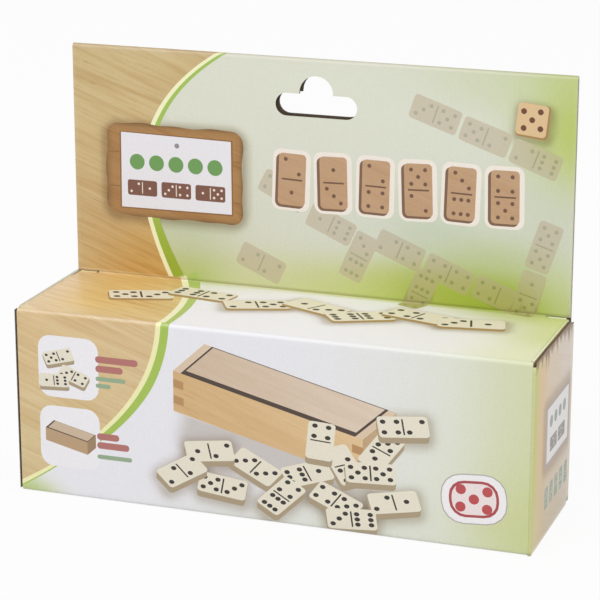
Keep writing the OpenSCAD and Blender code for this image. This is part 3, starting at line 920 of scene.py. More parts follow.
# %% Top print: a row of lying dominoes, seen aslant
TOP_INKS, BIG_PIP = ("#E9E1CB", "#A88654", "#332C26"), 0.215
top_layers = drawn_dominoes("top", (25, 13.5), (
    (-62, 3.5, 22, 5, 3), (-40, 12, -10, 6, 4), (-16, 5.5, 24, 2, 5), (6, 10.0, -28, 1, 3),
    (25, 4.0, 30, 6, 6), (45, 11.5, -18, 4, 2), (66, 8.5, 12, 3, 1)),
    lean=0.78, drop=(0.6, -2.5), inks=TOP_INKS, pip=BIG_PIP)
TOP_SHADOWS = [(x + 1, y - 2.5, 25, 11, 2, turn, 2.6, 0.22) for x, y, turn in
               ((-16, 5.5, 19), (6, 10, -22), (25, 4, 24), (45, 11.5, -14), (66, 8.5, 9))]
print("top print:", len(top_layers), "shapes")

# %% Front print: the box, drawn from three directions in the sheet
BOX_FOOT = np.array([37.0, 21.0])
BOX_RUN, BOX_SIDE, BOX_RISE = np.array([-73.0, 18.0]), np.array([12.5, 11.5]), np.array([0.0, 15.5])


def box_face(a, b, c):
    """Parallelogram from a corner and two edges."""
    a, b, c = (np.array(v, float) for v in (a, b, c))
    return np.array([a, a + b, a + b + c, a + c])


def slope_ink(first, second, low, high, grain):
    """An ink that runs from one colour to another along x."""
    return lambda x, s: blended(first, second, np.clip((x - low) / (high - low), 0, 1), grain)


lid_ink = slope_ink("#D0BAA4", "#DCCBB9", -30, 45, 0.35)
side_ink = slope_ink("#D3B07F", "#DFC196", -36, 37, 0.5)
end_ink = slope_ink("#BFA07C", "#CDB292", 37, 50, 0.5)
top_corner = BOX_FOOT + BOX_RISE
lid_corner = top_corner + 0.055 * BOX_RUN + 0.12 * BOX_SIDE
front_layers = [
    shape("front", box_face(BOX_FOOT, BOX_RUN, BOX_RISE), side_ink),
    shape("front", box_face(BOX_FOOT, BOX_SIDE, BOX_RISE), end_ink),
    shape("front", box_face(top_corner, BOX_RUN, BOX_SIDE), "#D8C2A8"),
    shape("front", box_face(top_corner + 0.04 * BOX_RUN, 0.92 * BOX_RUN, BOX_SIDE), "#4A3C34"),
    shape("front", box_face(lid_corner, 0.895 * BOX_RUN, 0.86 * BOX_SIDE), lid_ink)]
FINGER_RUN, FINGER_RISE = 0.055 * BOX_RUN, 0.2 * BOX_RISE
for k in (1, 3):
    for along in (0.0, 0.945):
        finger = box_face(BOX_FOOT + k * 0.2 * BOX_RISE + along * BOX_RUN, FINGER_RUN, FINGER_RISE)
        front_layers.append(shape("front", finger, "#B58B5D"))
print("box:", len(front_layers), "shapes")

# %% Front print: scattered dominoes and their shadows
front_layers += drawn_dominoes("front", (19, 10.4), (
    (44, 33, 60, 3, 5), (52, 43, 8, 4, 2), (30, 26, -64, 2, 6), (40, 24, 4, 5, 5), (16, 21, 24, 6, 1),
    (-4, 21, -34, 3, 3), (-22, 25, 10, 1, 2), (27, 12, -30, 4, 5), (49, 14, 14, 2, 1), (6, 11, 52, 6, 4),
    (-17, 12, -8, 5, 3), (21, 34, 86, 0, 4), (-33, 16, 38, 2, 2), (33, 5.5, 6, 3, 6)),
    lean=0.76, drop=(-0.2, -2.2), pip=BIG_PIP)
FRONT_SHADOWS = [(6, 26, 72, 16, 3, -14, 4.5, 0.16)] + [
    (x, y - 1.6, 19, 9, 2, turn, 2.6, 0.19)
    for x, y, turn in ((49, 14, 10), (-17, 12, -6), (-33, 16, 30), (33, 5.5, 5), (27, 12, -24),
                       (6, 11, 40), (-22, 25, 8), (52, 43, 6))]
print("with the dominoes:", len(front_layers), "shapes")

# %% Front print: two plain labels with bars, and a badge of rings and pips
BARS_FROM = -67
BADGE_AT = (78.5, 19.0)
front_layers += [card("front", 24.4, 24.0, 5.0, (-78, y), "#ECEAEE") for y in (51.0, 23.5)]
front_layers += drawn_dominoes("front", (12, 6.4), (
    (-82, 55, 18, 5, 2), (-76, 48, -24, 3, 4), (-84, 45.5, 4, 1, 6)), lean=0.8, drop=(0.1, -1.4), pip=0.2)
small = np.array([-71.0, 17.5])
for foot, run, rise, ink in (((0, 0), (-17, 4.0), (0.0, 5.0), "#B79A78"),
                             ((0, 0), (3.5, 3.2), (0.0, 5.0), "#9C8062"),
                             ((0, 5.0), (-17, 4.0), (3.5, 3.2), "#5A4A40"),
                             ((0.1, 5.4), (-16, 3.8), (3.0, 2.8), "#C9B29A")):
    front_layers.append(shape("front", box_face(small + foot, run, rise), ink))
for thick, ink, bars in ((2.6, "#B0706A", ((-50, 55.5), (-56, 51.9), (-58, 25.4), (-54, 21.9))),
                         (1.7, "#93A98A", ((-55, 48.0), (-61, 45.3), (-53, 17.4)))):
    for end, y in bars:
        bar = rounded(end - BARS_FROM, thick, thick / 2.2, 3) + ((end + BARS_FROM) / 2, y)
        front_layers.append(shape("front", bar, ink))
front_layers += [card("front", w, h, 0.42 * h, BADGE_AT, ink, 4) for w, h, ink in
                 ((24.5, 19.0, "#A9A4A0"), (23.7, 18.2, "#EDEAEC"), (18.4, 13.8, "#A8474A"),
                  (16.4, 11.8, "#E9DCDC"))]
pips = [np.multiply(spot, (4.9, 3.3)) + BADGE_AT for spot in PIP_SPOTS[5]]
front_layers += [shape("front", placed(oval(3.9, 3.9), at, 4), "#B84A4D") for at in pips]
print("front print:", len(front_layers), "shapes")

# %% [markdown]
# ## The front, top and header as one sheet
# The real carton is one blank, so its front, top and header front are made as one folded
# sheet, which stands for three of the solids. The outline narrows beside the top panel,
# where the dust flaps fold, and the header's crease is slit at both ends.

# %% Outline, wear and painted crease shade of the wrap
# Rubbed folds: distance along the sheet, width, and strength left and right of x = -30.
# Folds with painted shade: distance along the sheet, width, and strength.
RUB_SPLIT = -30
RUBBED_FOLDS = ((WRAP_STOPS[2] + 1.3, 0.34, 0.34, 0.12), (WRAP_STOPS[1] - 1.25, 0.8, 0.20, 0.20),
                (WRAP_STOPS[6] + 0.7, 0.7, 0.14, 0.14))
SHADED_FOLDS = ((WRAP_STOPS[5] - 0.05, 0.4, 0.20), (WRAP_STOPS[6] + 1.2, 0.9, 0.10),
               (WRAP_STOPS[6] + 2.4, 0.7, 0.22))
SLIT_AT = SHEET_AT["header"] + SLIT_TOP


def wrap_outline():
    """Right half of the outline as (half width, s), then the same mirrored."""
    foot = WRAP_STOPS[3]
    right = np.array([(PANEL_END, 0.0), (PANEL_END, foot), (DUST_END, foot),
                      (DUST_END, SLIT_AT - SLIT_WIDTH), (SLIT_START, SLIT_AT - SLIT_WIDTH),
                      (SLIT_START, SLIT_AT), (PANEL_END, SLIT_AT), (PANEL_END, WRAP_STOPS[-1])])
    return np.concatenate([right, right[::-1] * [-1, 1]])


def wrap_ground(x, s):
    """The airbrushed ground of whichever panel a point of the wrap is on, which turns
    into the next panel's over 1.5 mm."""
    inked = ground("front", FRONT_PATCHES, FRONT_SHADOWS)(x, s)
    for panel, patches, shadows, start in (("top", TOP_PATCHES, TOP_SHADOWS, WRAP_STOPS[3]),
                                           ("header", HEADER_PATCHES, HEADER_SHADOWS, WRAP_STOPS[4])):
        share = np.clip((s - start) / 1.5 + 0.5, 0, 1)[:, None]
        inked = inked * (1 - share) + ground(panel, patches, shadows)(x, s) * share
    return inked


def wrap_rub(x, s):
    """How rubbed the print is: strength exp(-(distance/width)^2) from each fold, and a
    little along the header's cut ends."""
    worn = np.zeros_like(s)
    for at, width, left, right in RUBBED_FOLDS:
        strength = np.where(x < RUB_SPLIT, left, right)
        worn = np.maximum(worn, strength * np.exp(-((s - at) / width) ** 2))
    ends = np.where(s < WRAP_STOPS[3], 0.0, 0.06)
    return np.maximum(worn, ends * np.exp(-((PANEL_END - np.abs(x)) / 0.5) ** 2))


def crease_shade(x, s):
    """Painted shade in the creases: 1 less a warm share exp(-(distance / width)^2) along the
    header's foot and over its top fold."""
    fold_shade = sum(share * np.exp(-((s - at) / width) ** 2) for at, width, share in SHADED_FOLDS)
    return 1 - fold_shade[:, None] * WARM_SHADE


def arcs(runs, rows=6):
    """Rows of points across every bent run, so that a fold comes out round."""
    begun, found = 0.0, []
    for length, bend in runs:
        found += list(begun + np.linspace(0, length, rows)) if bend else []
        begun += length
    return np.unique(np.round(found, 5))[1:-1]


def halo(shadows, panel):
    """Rings of points round each soft shadow, so that the mesh can carry it."""
    return [on_sheet(panel, placed(rounded(w + 2 * d, h + 2 * d, r + d), (cx, cy), turn))
            for cx, cy, w, h, r, turn, spread, strength in shadows
            for d in np.array([0.0, 0.5, 1.0, 1.6]) * spread]


print("rows of points across the folds:", len(arcs(WRAP_RUNS)))

# %% Wrap the front, top and header
slit_layers = []
# Under each slit a pale strip of torn edge, lightened as a painted highlight; at its inner end a dark spot of
# painted shade where the slit opens.
for turn, tear_and_highlight, slit_end_shade in ((-1, "#F0DDA6", "#6F5026"), (1, "#E6EAC8", "#8E9A5C")):
    under = (turn * (SLIT_START + DUST_END) / 2, SLIT_AT - SLIT_WIDTH - 0.62)
    tip = (turn * (SLIT_START - 0.5), SLIT_AT - 0.3)
    slit_layers += [(rounded(DUST_END - SLIT_START, 1.1, 0.2, 1) + under, tear_and_highlight),
                    (rounded(0.8, 1.3, 0.3, 2) + tip, slit_end_shade)]
wrap_layers = curve_layers + header_layers + top_layers + front_layers + slit_layers
blank = cut_blank(wrap_outline(), [on_sheet("header", slot_loop())], wrap_layers, arcs(WRAP_RUNS),
                  halo(HEADER_SHADOWS, "header") + halo(FRONT_SHADOWS, "front"))
wrap = printed_board("carton_wrap", blank, wrap_layers, wrap_ground, folded_wrap, SHEET_FINISHES,
                     crease_shade, rub=wrap_rub, dark_rim=SHEET_AT["header"] + SLOT_BAND)
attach(wrap, "carton")
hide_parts("front_panel", "top_panel", "header_front_layer")
print("wrap:", len(blank[0]), "points,", len(blank[1]), "printed triangles")

# %% [markdown]
# ## Back and bottom
# The back panel is the header's second layer. Nobody looks at it much, so the printer
# gives it the same curve, a short chain of see-through dominoes and an empty white
# label. Its slot never lines up quite with the front one: the fold lets it sit a little
# higher and to the side, which shows as a rim in the slot. The rim is darkened with
# painted shade, on the back's inner liner and on the slot's cut edges.

# %% Back panel
BACK_SLOT_SHIFT = (0.75, 0.65)
BACK_TOP = TOTAL_H - TOP_FOLD
BACK_PATCHES = [(-40, 120, 60, 50, "#DADCC8"), (50, 60, 60, 50, "#E6E8DC"), (-90, 20, 30, 40, "#C3CF88"),
                (-95, 150, 24, 30, "#C9D29A"), (30, 10, 60, 20, "#DDE0CB")]
WOOD_BACK = [(80, 120, 40, 60, "#D9C096"), (90, 30, 30, 40, "#DBC192"), (60, 80, 30, 40, "#D6B988")]


def back_face(loop):
    """Seen from behind, the carton's x runs the other way: the loop is mirrored."""
    return np.asarray(loop, float) * [-1.0, 1.0]


def mirrored(ink):
    """An ink read from the other side of the sheet."""
    return ink if isinstance(ink, str) else lambda x, s: ink(-x, s)


def back_rub(x, s):
    """A little paper shows along the cut ends and the foot."""
    return 0.45 * np.exp(-(np.minimum(PANEL_END - np.abs(x), s) / 0.8) ** 2)


curve_back = bezier((30.0, 161.5), (92.0, 120.0), (78.0, 40.0), (56.0, -1.0))
seen_layers = [
    shape("back", wood_side(curve_back, [(100, -1), (100, 161.5)]), ground("back", WOOD_BACK, grain=1.0)),
    shape("back", band(curve_back, 0.0, -5.0), "#A3BE57"),
    shape("back", band(curve_back, -1.8, 0.3), "#F0EDBE"),
    card("back", 88, 40, 5, (-22, 36), "#ECEAEE")]
seen_layers += drawn_dominoes("back", GHOST_SIZE, (
    (-52, 108, -16, 1, 4), (-31, 102, -16, 6, 2), (-10, 96, -16, 3, 3), (11, 90, -16, 5, 0)),
    inks=ghost_inks("back", BACK_PATCHES))
back_layers = [(back_face(loop), mirrored(ink)) for loop, ink in seen_layers]
back_outline = [(-PANEL_END, 0), (PANEL_END, 0), (PANEL_END, BACK_TOP), (-PANEL_END, BACK_TOP)]
blank = cut_blank(back_outline, [back_face(slot_loop() + BACK_SLOT_SHIFT)], back_layers)
back = printed_board("carton_back", blank, back_layers, mirrored(ground("back", BACK_PATCHES)),
                     planar((0, BACK_Y, 0), (-1, 0, 0), (0, 0, 1)), BACK_FINISHES, rub=back_rub,
                     dark_rim=SLOT_BAND)
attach(back, "carton")
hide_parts("back_panel")
print("back:", len(back.data.polygons), "triangles")

# %% Bottom panel and glue flap
BARE_WHITE = "#E6E5DE"
BOTTOM_FRONT, BOTTOM_END = FRONT_Y + FOLD_OUT, BACK_Y - BOARD - FOLD_OUT
bottom_outline = [(-DUST_END, -BOTTOM_FRONT), (DUST_END, -BOTTOM_FRONT),
                  (DUST_END, -BOTTOM_END), (-DUST_END, -BOTTOM_END)]
bottom = printed_board("carton_bottom", cut_blank(bottom_outline, [], []), [], BARE_WHITE,
                       planar((0, 0, 0), (1, 0, 0), (0, -1, 0)), BOARD_FINISHES)
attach(bottom, "carton")
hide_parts("bottom_panel")
glue_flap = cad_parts["glue_flap"].data.materials
glue_flap.clear()
glue_flap.append(LINER)
print("bottom:", len(bottom.data.polygons), "triangles")

# %% [markdown]
# ## End flaps, lips and dust flaps
# Each end has a flap that tucks in with a lip, over two dust flaps. The print of the
# front runs on round the edge of the right flap. All eight are flat boards, drawn in
# their own plane: u runs from the crease, v along it. The left end is the right end
# turned half round, so one function makes both.

# %% Sizes of the flaps
FLAP_AXIS = np.array([99.11, -28.5])
FLAP_FROM, FLAP_REACH, FLAP_R = 0.35, 55.0, 3.5
FLAP_LOW, FLAP_HIGH = 0.2, 71.8
LIP_AXIS_Y, LIP_LEAN, LIP_REACH, LIP_R = 27.15, math.radians(10), 11.0, 5.0
LIP_LOW, LIP_HIGH = 4.0, 68.0
LIP_RUN = np.array([-math.cos(LIP_LEAN), -math.sin(LIP_LEAN), 0])
LIP_OUT = np.array([-math.sin(LIP_LEAN), math.cos(LIP_LEAN), 0])
DUST_AXIS_X, DUST_REACH = 97.91, 24.0
DUST_FRONT, DUST_BACK = -27.0, 25.45
DUST_MITRE, DUST_TAPER, DUST_R = 0.8, 2.0, 1.5
DUST_LEVELS = (("top", CARTON_H - HALF_BOARD, -1.0), ("bottom", HALF_BOARD, 1.0))
SWOLLEN_BOARD = 1.17
FINE_STEP = 0.9
ALONG_Y, UPWARD = (0, 1, 0), (0, 0, 1)


def half_turn(place, side):
    """The left end is the right end turned by 180 degrees about Z."""
    return place if side == "right" else lambda flat, depth: place(flat, depth) * [-1, -1, 1]


def free_end(reach, low, high, r):
    """Outline of a flap: square at its crease, rounded at its free corners."""
    turn = np.linspace(0, QUARTER, 7)
    arc = np.stack([np.sin(turn), 1 - np.cos(turn)], 1) * r
    lower = arc + [reach - r, low]
    upper = (arc * [1, -1])[::-1] + [reach - r, high]
    return np.concatenate([[(FLAP_FROM, low)], lower, upper, [(FLAP_FROM, high)]])


def dust_outline():
    """Outline of a dust flap in (y, distance from its crease), mitred on the front side."""
    far_front, far_back = DUST_FRONT + DUST_MITRE * DUST_REACH, DUST_BACK - DUST_TAPER
    corner = circular(np.linspace(0, QUARTER, 6)) * DUST_R + [far_back - DUST_R, DUST_REACH - DUST_R]
    return np.concatenate([[(DUST_FRONT + DUST_MITRE * FLAP_FROM, FLAP_FROM), (DUST_BACK, FLAP_FROM)],
                           corner, [(far_front + DUST_R / 2, DUST_REACH),
                                    (far_front - DUST_MITRE * DUST_R, DUST_REACH - DUST_R)]])


print("a dust flap spans", np.ptp(dust_outline(), axis=0).round(1).tolist(), "mm")

# %% Print, wear and painted shade of the end flaps
FLAP_SHADOWS = [(35.0, 38.0, 39, 25.5, 3, 0, 2.6, 0.17)]
# Fold inks of the lips: worn pale board on the right, painted shade on the left, where the fold shows as a
# dark strip beside the front.
LIP_PALE, LIP_FOLD_WEAR_AND_SHADE = "#D9CFC4", {"right": "#CDBFAE", "left": "#54463A"}
FLAP_WARM, FLAP_PALE = ("#85807C", "#85807C", "#D5D2CF"), ("#8B988A", "#838F86", "#D5D3C6")
TORN_BOARD = "#6B5231"
TORN = [(1.5, 3.0, 2.0), (9, 2.4, 1.4), (15, 6.5, 0.9), (18.5, 5.5, 1.1), (24, 2.2, 2.0), (31, 4.0, 1.0),
        (37, 2.0, 1.6), (43, 3.4, 1.4), (49, 5.0, 2.2), (54, 4.6, 1.6)]


def frayed(u, v):
    """How much brown board shows below the flap's top edge: streaks that fade with the
    distance from it. Their length is a sine of u plus a bell for each torn place."""
    length = 1.3 + 0.8 * np.sin(1.9 * u + 0.7) * np.sin(0.53 * u)
    for at, reach, width in TORN:
        length = length + reach * np.exp(-((u - at) / width) ** 2)
    return np.clip(1.25 - (FLAP_HIGH - v) / np.maximum(length, 0.4), 0, 1)


def flap_ground(u, v):
    """Airbrushed ground of the end flap, with brown streaks below its top edge and wood
    grain that sets in from 6 to 16 mm."""
    inked = shaded(airbrush(u, v, FLAP_PATCHES), u, v, FLAP_SHADOWS)
    inked = tinted(inked, TORN_BOARD, 0.92 * frayed(u, v)[:, None])
    inked[:, 3] = 0.35 * np.clip((u - 6) / 10, 0, 1)
    return inked


def lip_ground(side):
    """A lip's pale ground, which turns into its fold's ink by a share of exp(-(u/1.8)^2): worn
    board on the right lip, painted shade on the left one.
    """
    return lambda u, v: blended(LIP_PALE, LIP_FOLD_WEAR_AND_SHADE[side], np.exp(-(u / 1.8) ** 2))


def flap_rub(u, v):
    """Rubbed paper along the free edges of a flap."""
    near = np.minimum(FLAP_REACH - u, v - FLAP_LOW)
    return 0.4 * np.exp(-(np.maximum(near, 0) / 1.0) ** 2)


flap_layers = [shape("flap", rounded(36.5, 25.0, 2.2) + (35.3, 37.8), "#A8978C"),
               shape("flap", rounded(32.0, 20.6, 0.6) + (35.5, 38.0), "#DDDAD8")]
flap_layers += [disc("flap", 4.6, (25.5 + 6.6 * k, 42.3), "#8F978E", 16) for k in range(4)]
flap_layers += drawn_dominoes("flap", (10.4, 5.4), ((29.5, 33.4, 0, 2, 3), (41.5, 33.4, 0, 4, 1)),
                              inks=FLAP_WARM)
upright = [(20.5 + 7.4 * k, 14.6, 90, *pair) for k, pair in
           enumerate(((1, 3), (5, 2), (0, 4), (6, 1), (2, 2)))]
flap_layers += drawn_dominoes("flap", (8.4, 4.6), upright, inks=FLAP_PALE)
print("flap layers:", len(flap_layers))


# %% Make the flaps
def add_board(node_name, body, outline, layers, inked, place, step=GRID_STEP,
              finishes=BOARD_FINISHES, **edge):
    """Cuts, prints and places one flat board, and puts it in its solid's place."""
    piece = printed_board(f"printed_{node_name}", cut_blank(outline, [], layers, step=step), layers,
                          inked, place, finishes, **edge)
    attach(piece, body)
    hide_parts(node_name)
    return piece


made = []
flap_place = planar((FLAP_AXIS[0] + HALF_BOARD, FLAP_AXIS[1], 0), ALONG_Y, UPWARD)
lip_place = planar(np.array([FLAP_AXIS[0], LIP_AXIS_Y, 0]) + LIP_OUT * HALF_BOARD, LIP_RUN, UPWARD)
for side, finishes, thickness in (("right", BOARD_FINISHES, BOARD), ("left", SHEET_FINISHES, SWOLLEN_BOARD)):
    made.append(add_board(f"{side}_end_flap", f"{side}_end_flap",
                          free_end(FLAP_REACH, FLAP_LOW, FLAP_HIGH, FLAP_R), flap_layers, flap_ground,
                          half_turn(flap_place, side), FINE_STEP, finishes, rub=flap_rub,
                          thickness=thickness))
    made.append(add_board(f"{side}_tuck_lip", f"{side}_tuck_lip",
                          free_end(LIP_REACH, LIP_LOW, LIP_HIGH, LIP_R), [], lip_ground(side),
                          half_turn(lip_place, side)))
    for level, foot, up in DUST_LEVELS:
        dust_place = planar((DUST_AXIS_X + HALF_BOARD, 0, foot), ALONG_Y, UPWARD)
        made.append(add_board(f"{side}_{level}_dust_flap", f"{side}_{level}_dust_flap",
                              dust_outline() * [1.0, up], [], "#E9E7E2", half_turn(dust_place, side)))
print("flaps:", [piece.name for piece in made])

# %% [markdown]
# ## Creases
# A crease is where the board bends, so it belongs to both of its panels. Each is a short
# strip from one panel's edge, round the fold, to the other's.


# %% Section and surface of a crease strip
ARC_POINTS = 9


def fold_section(first, second, bead):
    """Outer and inner path round a fold about an axis. Each board is (direction from the
    axis, outward normal, distance at which it starts). The outer path is a straight run,
    an arc of half the board's thickness and a straight run; the inner path turns at the
    corner -(n1 + n2) t/2 / (1 + n1.n2). A bead pushes the arc on along the first board
    by bead sin(pi t)^0.6, as where the fold is crushed."""
    (d1, n1, g1), (d2, n2, g2) = first, second
    whole = math.acos(np.clip(n1 @ n2, -1, 1))
    t = np.linspace(0, 1, ARC_POINTS)[:, None]
    arc = (np.sin((1 - t) * whole) * n1 + np.sin(t * whole) * n2) / math.sin(whole) * HALF_BOARD
    arc = arc - d1 * bead * np.sin(np.pi * t) ** 0.6
    outer = np.concatenate([[d1 * g1 + n1 * HALF_BOARD], arc, [d2 * g2 + n2 * HALF_BOARD]])
    corner = -(n1 + n2) * HALF_BOARD / (1 + n1 @ n2)
    share = np.linspace(0, 1, len(outer))[:, None]
    inner = np.where(share < 0.5, (d1 * g1 - n1 * HALF_BOARD) * (1 - 2 * share) + corner * 2 * share,
                     corner * (2 - 2 * share) + (d2 * g2 - n2 * HALF_BOARD) * (2 * share - 1))
    return outer, inner


def strip_faces(points, count, k, m):
    """Faces of a strip of `count` sections of k points, of which the first m are its
    outer path, and their finishes: 0 outside, 1 inside, 2 on the cut edges. The faces
    are turned round if the first one looks towards the strip's middle."""
    i, j = np.meshgrid(np.arange(count - 1), np.arange(k), indexing="ij")
    a, b = i * k + j, i * k + (j + 1) % k
    quads = np.stack([a, b, b + k, a + k], -1).reshape(-1, 4)
    cap = np.arange(m - 1)
    low_cap = np.stack([cap, k - 1 - cap, k - 2 - cap, cap + 1], 1)
    faces = np.concatenate([quads, low_cap, low_cap[:, ::-1] + (count - 1) * k])
    finish = np.full((count - 1, k), 2)
    finish[:, :m - 1], finish[:, m:k - 1] = 0, 1
    p, q, r = points[faces[0, :3]]
    if np.sum(np.cross(q - p, r - p) * (p - points.mean(0))) < 0:
        faces = faces[:, ::-1]
    return faces, np.append(finish.ravel(), np.full(2 * (m - 1), 2))


def crease_strip(name, axis, first, second, span, inked, side, rub=0.12, bead=0.0):
    """A strip along an axis, over a span of it, with a section about every 2 mm. It runs
    from the start of the first board to the start of the second."""
    first, second = ((np.array(d, float), np.array(n, float), g) for d, n, g in (first, second))
    outer, inner = fold_section(first, second, bead)
    ring = np.concatenate([outer, inner[::-1]]) + np.array(axis, float)
    along = np.cross(first[1], second[1])
    along = np.abs(along) / np.linalg.norm(along)
    low, high = span
    count = max(int((high - low) / GRID_STEP), 1) + 1
    levels = np.linspace(low, high, count)
    points = (ring[None, :, :] + levels[:, None, None] * along).reshape(-1, 3)
    faces, finish = strip_faces(points, count, len(ring), len(outer))
    turn = np.array([-1, -1, 1]) if side == "left" else np.ones(3)
    mesh = bpy.data.meshes.new(name)
    mesh.from_pydata((points * turn / 1000).tolist(), [], faces.tolist())
    mesh.polygons.foreach_set("material_index", finish.astype(np.int32))
    mesh.polygons.foreach_set("use_smooth", finish == 0)
    reach = np.concatenate([[0.0], np.cumsum(np.linalg.norm(np.diff(outer, axis=0), axis=1))])
    flat = np.column_stack([np.tile(np.append(reach, reach[::-1]), count), np.repeat(levels, len(ring))])
    corners = flat[faces].reshape(-1, 2)
    inks = ink_at(inked, *corners.T).copy()
    inks[:, :3] = linear(inks[:, :3])
    piece = inked_piece(name, mesh, inks, np.full(len(corners), rub), corners, BOARD_FINISHES)
    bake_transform(piece)
    return piece


print("points round a fold:", ARC_POINTS)

# %% Inks of the creases
LIP_BEAD = 1.25
BEAD_LOW, BEAD_HIGH = 0.9, {"right": 70.2, "left": 71.3}
STRIP_TOP, LONG_DUST_END = 70.4, 27.2
# Painted shade on the left top dust crease: where it starts towards the header, and its ink.
CORNER_SHADE_FROM, CORNER_SHADE_INK = 18.5, "#4E4A46"
EDGE_RUN, EDGE_TOP = 1.8, 60.0


def front_edge_ink(u, v):
    """The front panel's ground, which turns into the flap's over the last 1.8 mm."""
    share = np.clip(u / EDGE_RUN, 0, 1)[:, None]
    front = ground("front", FRONT_PATCHES)(np.full(len(u), PANEL_END), v + SHEET_AT["front"])
    return front * (1 - share) + flap_ground(0 * u, np.minimum(v, EDGE_TOP)) * share


def top_end_ink(side):
    """The top panel's ground beside its end, carried on over a dust flap's crease. The
    left one darkens towards the header: painted shade of the gap at that back corner."""
    turn = 1 if side == "right" else -1
    below = ground("top", TOP_PATCHES) if side == "right" else ink_wood_top

    def ink(u, v):
        """Reads the top's ink at the crease, by the place along it."""
        inked = below(np.full(len(u), turn * DUST_END), turn * v + SHEET_AT["top"])
        darkened = 0.75 * np.clip((turn * v - CORNER_SHADE_FROM) / 1.5, 0, 1)[:, None] * (side == "left")
        return tinted(inked, CORNER_SHADE_INK, darkened)
    return ink


print("the left dust crease is scuffed from", CORNER_SHADE_FROM, "mm")

# %% Make the creases
strips = []
for side, edge_ink in (("right", front_edge_ink), ("left", "#D9CFB4")):
    strips.append(crease_strip(
        f"{side}_flap_crease", (*FLAP_AXIS, 0),
        ((-1, 0, 0), (0, -1, 0), FLAP_AXIS[0] - PANEL_END), (ALONG_Y, (1, 0, 0), FLAP_FROM),
        (FLAP_LOW, STRIP_TOP), edge_ink, side, rub=0.0))
    # The lip's crease carries the same fold ink: painted shade on the left.
    strips.append(crease_strip(
        f"{side}_lip_crease", (FLAP_AXIS[0], LIP_AXIS_Y, 0),
        ((0, -1, 0), (1, 0, 0), LIP_AXIS_Y - FLAP_AXIS[1] - FLAP_REACH), (LIP_RUN, LIP_OUT, FLAP_FROM),
        (BEAD_LOW, BEAD_HIGH[side]), LIP_FOLD_WEAR_AND_SHADE[side], side, bead=LIP_BEAD))
    for level, foot, up in DUST_LEVELS:
        back_end = LONG_DUST_END if (side, level) == ("left", "top") else DUST_BACK
        strips.append(crease_strip(
            f"{side}_{level}_dust_crease", (DUST_AXIS_X, 0, foot),
            ((-1, 0, 0), (0, 0, -up), DUST_AXIS_X - DUST_END), ((0, 0, up), (1, 0, 0), FLAP_FROM),
            (DUST_FRONT, back_end), top_end_ink(side) if level == "top" else "#E9E7E2", side))
print("crease strips:", [piece.name for piece in strips])

# %% [markdown]
# ## The beech box
# Beech is a pale pinkish-brown wood with a close, even grain and short dark flecks. The
# boards are sanded and left bare. A single noise would look like stone, so the grain is
# drawn out along each board's length, the flecks lie the same way, and the faces that
# cut across the fibres, such as the ends of the fingers, get a darker end grain.

# %% Beech, along the grain and across it
# Length and width of the grain's bands and of the flecks, in metres. Cut across, the
# year rings are 3.5 mm apart, and the pores are drawn coarse, as spots of 0.4 mm.
GRAIN_RUN, GRAIN_BAND = 0.070, 0.0022
FLECK_RUN, FLECK_WIDTH = 0.0028, 0.00035
RING_SCALE, PORE_SCALE = 90.0, 2600.0


def beech(tree, quarter_turns, tint="#FFFFFF"):
    """Sanded beech with its grain along X, or along Y after a quarter turn."""
    place = node(tree, "TexCoord")
    turned = node(tree, "Mapping", [("Vector", place.outputs["Object"])],
                  Rotation=(0.0, 0.0, quarter_turns * QUARTER))
    rings = streaks(tree, turned, GRAIN_RUN, GRAIN_BAND, 5.0, 0.8)
    flecks = streaks(tree, turned, FLECK_RUN, FLECK_WIDTH, 1.0, 0.0)
    colour = node(tree, "ValToRGB", [("Fac", rings)],
                  ((0.28, "#C79C6E"), (0.50, "#DCB98C"), (0.74, "#E8CDA6")))
    dark = node(tree, "ValToRGB", [("Fac", flecks)], ((0.30, "#9C7148"), (0.40, "#FFFFFF")))
    flecked = node(tree, "Mix", [(0, 0.55), (6, colour), (7, dark)], **TIMES)
    toned = node(tree, "Mix", [(0, 1.0), (6, flecked.outputs[2]), (7, paint(tint))], **TIMES)
    bump = node(tree, "Bump", [("Height", rings)], Strength=0.18, Distance=0.0002)
    return node(tree, "BsdfPrincipled", [("Base Color", toned.outputs[2]), ("Normal", bump)],
                Roughness=0.58, IOR=1.5)


def end_grain(tree):
    """Beech cut across its fibres: fine pores, darker and more matt than the long grain."""
    place = node(tree, "TexCoord").outputs["Object"]
    pores = node(tree, "TexNoise", [("Vector", place)], Scale=PORE_SCALE, Detail=3.0, Roughness=0.6)
    years = node(tree, "TexWave", [("Vector", place)], wave_type="BANDS", bands_direction="Z",
                 Scale=RING_SCALE, Distortion=3.0, Detail=2.0)
    colour = node(tree, "ValToRGB", [("Fac", pores)], ((0.34, "#A97A4E"), (0.62, "#CBA074")))
    yearly = node(tree, "ValToRGB", [("Fac", years.outputs[1])], ((0.20, "#E2D0BC"), (0.70, "#FFFFFF")))
    both = node(tree, "Mix", [(0, 0.8), (6, colour), (7, yearly)], **TIMES)
    return node(tree, "BsdfPrincipled", [("Base Color", both.outputs[2])], Roughness=0.75, IOR=1.5)


BEECH_ALONG = material_of("sanded_beech_along_x", beech, 0)
BEECH_ACROSS = material_of("sanded_beech_along_y", beech, 1, "#F6EDE2")
BEECH_END = material_of("beech_end_grain", end_grain)
print("beech:", BEECH_ALONG.name, BEECH_ACROSS.name, BEECH_END.name)

# %% Soften the box's boards
WELD_M, FLAT_ANGLE = 2e-6, 0.01
BROKEN_EDGE, LID_EDGE = 0.00035, 0.0005


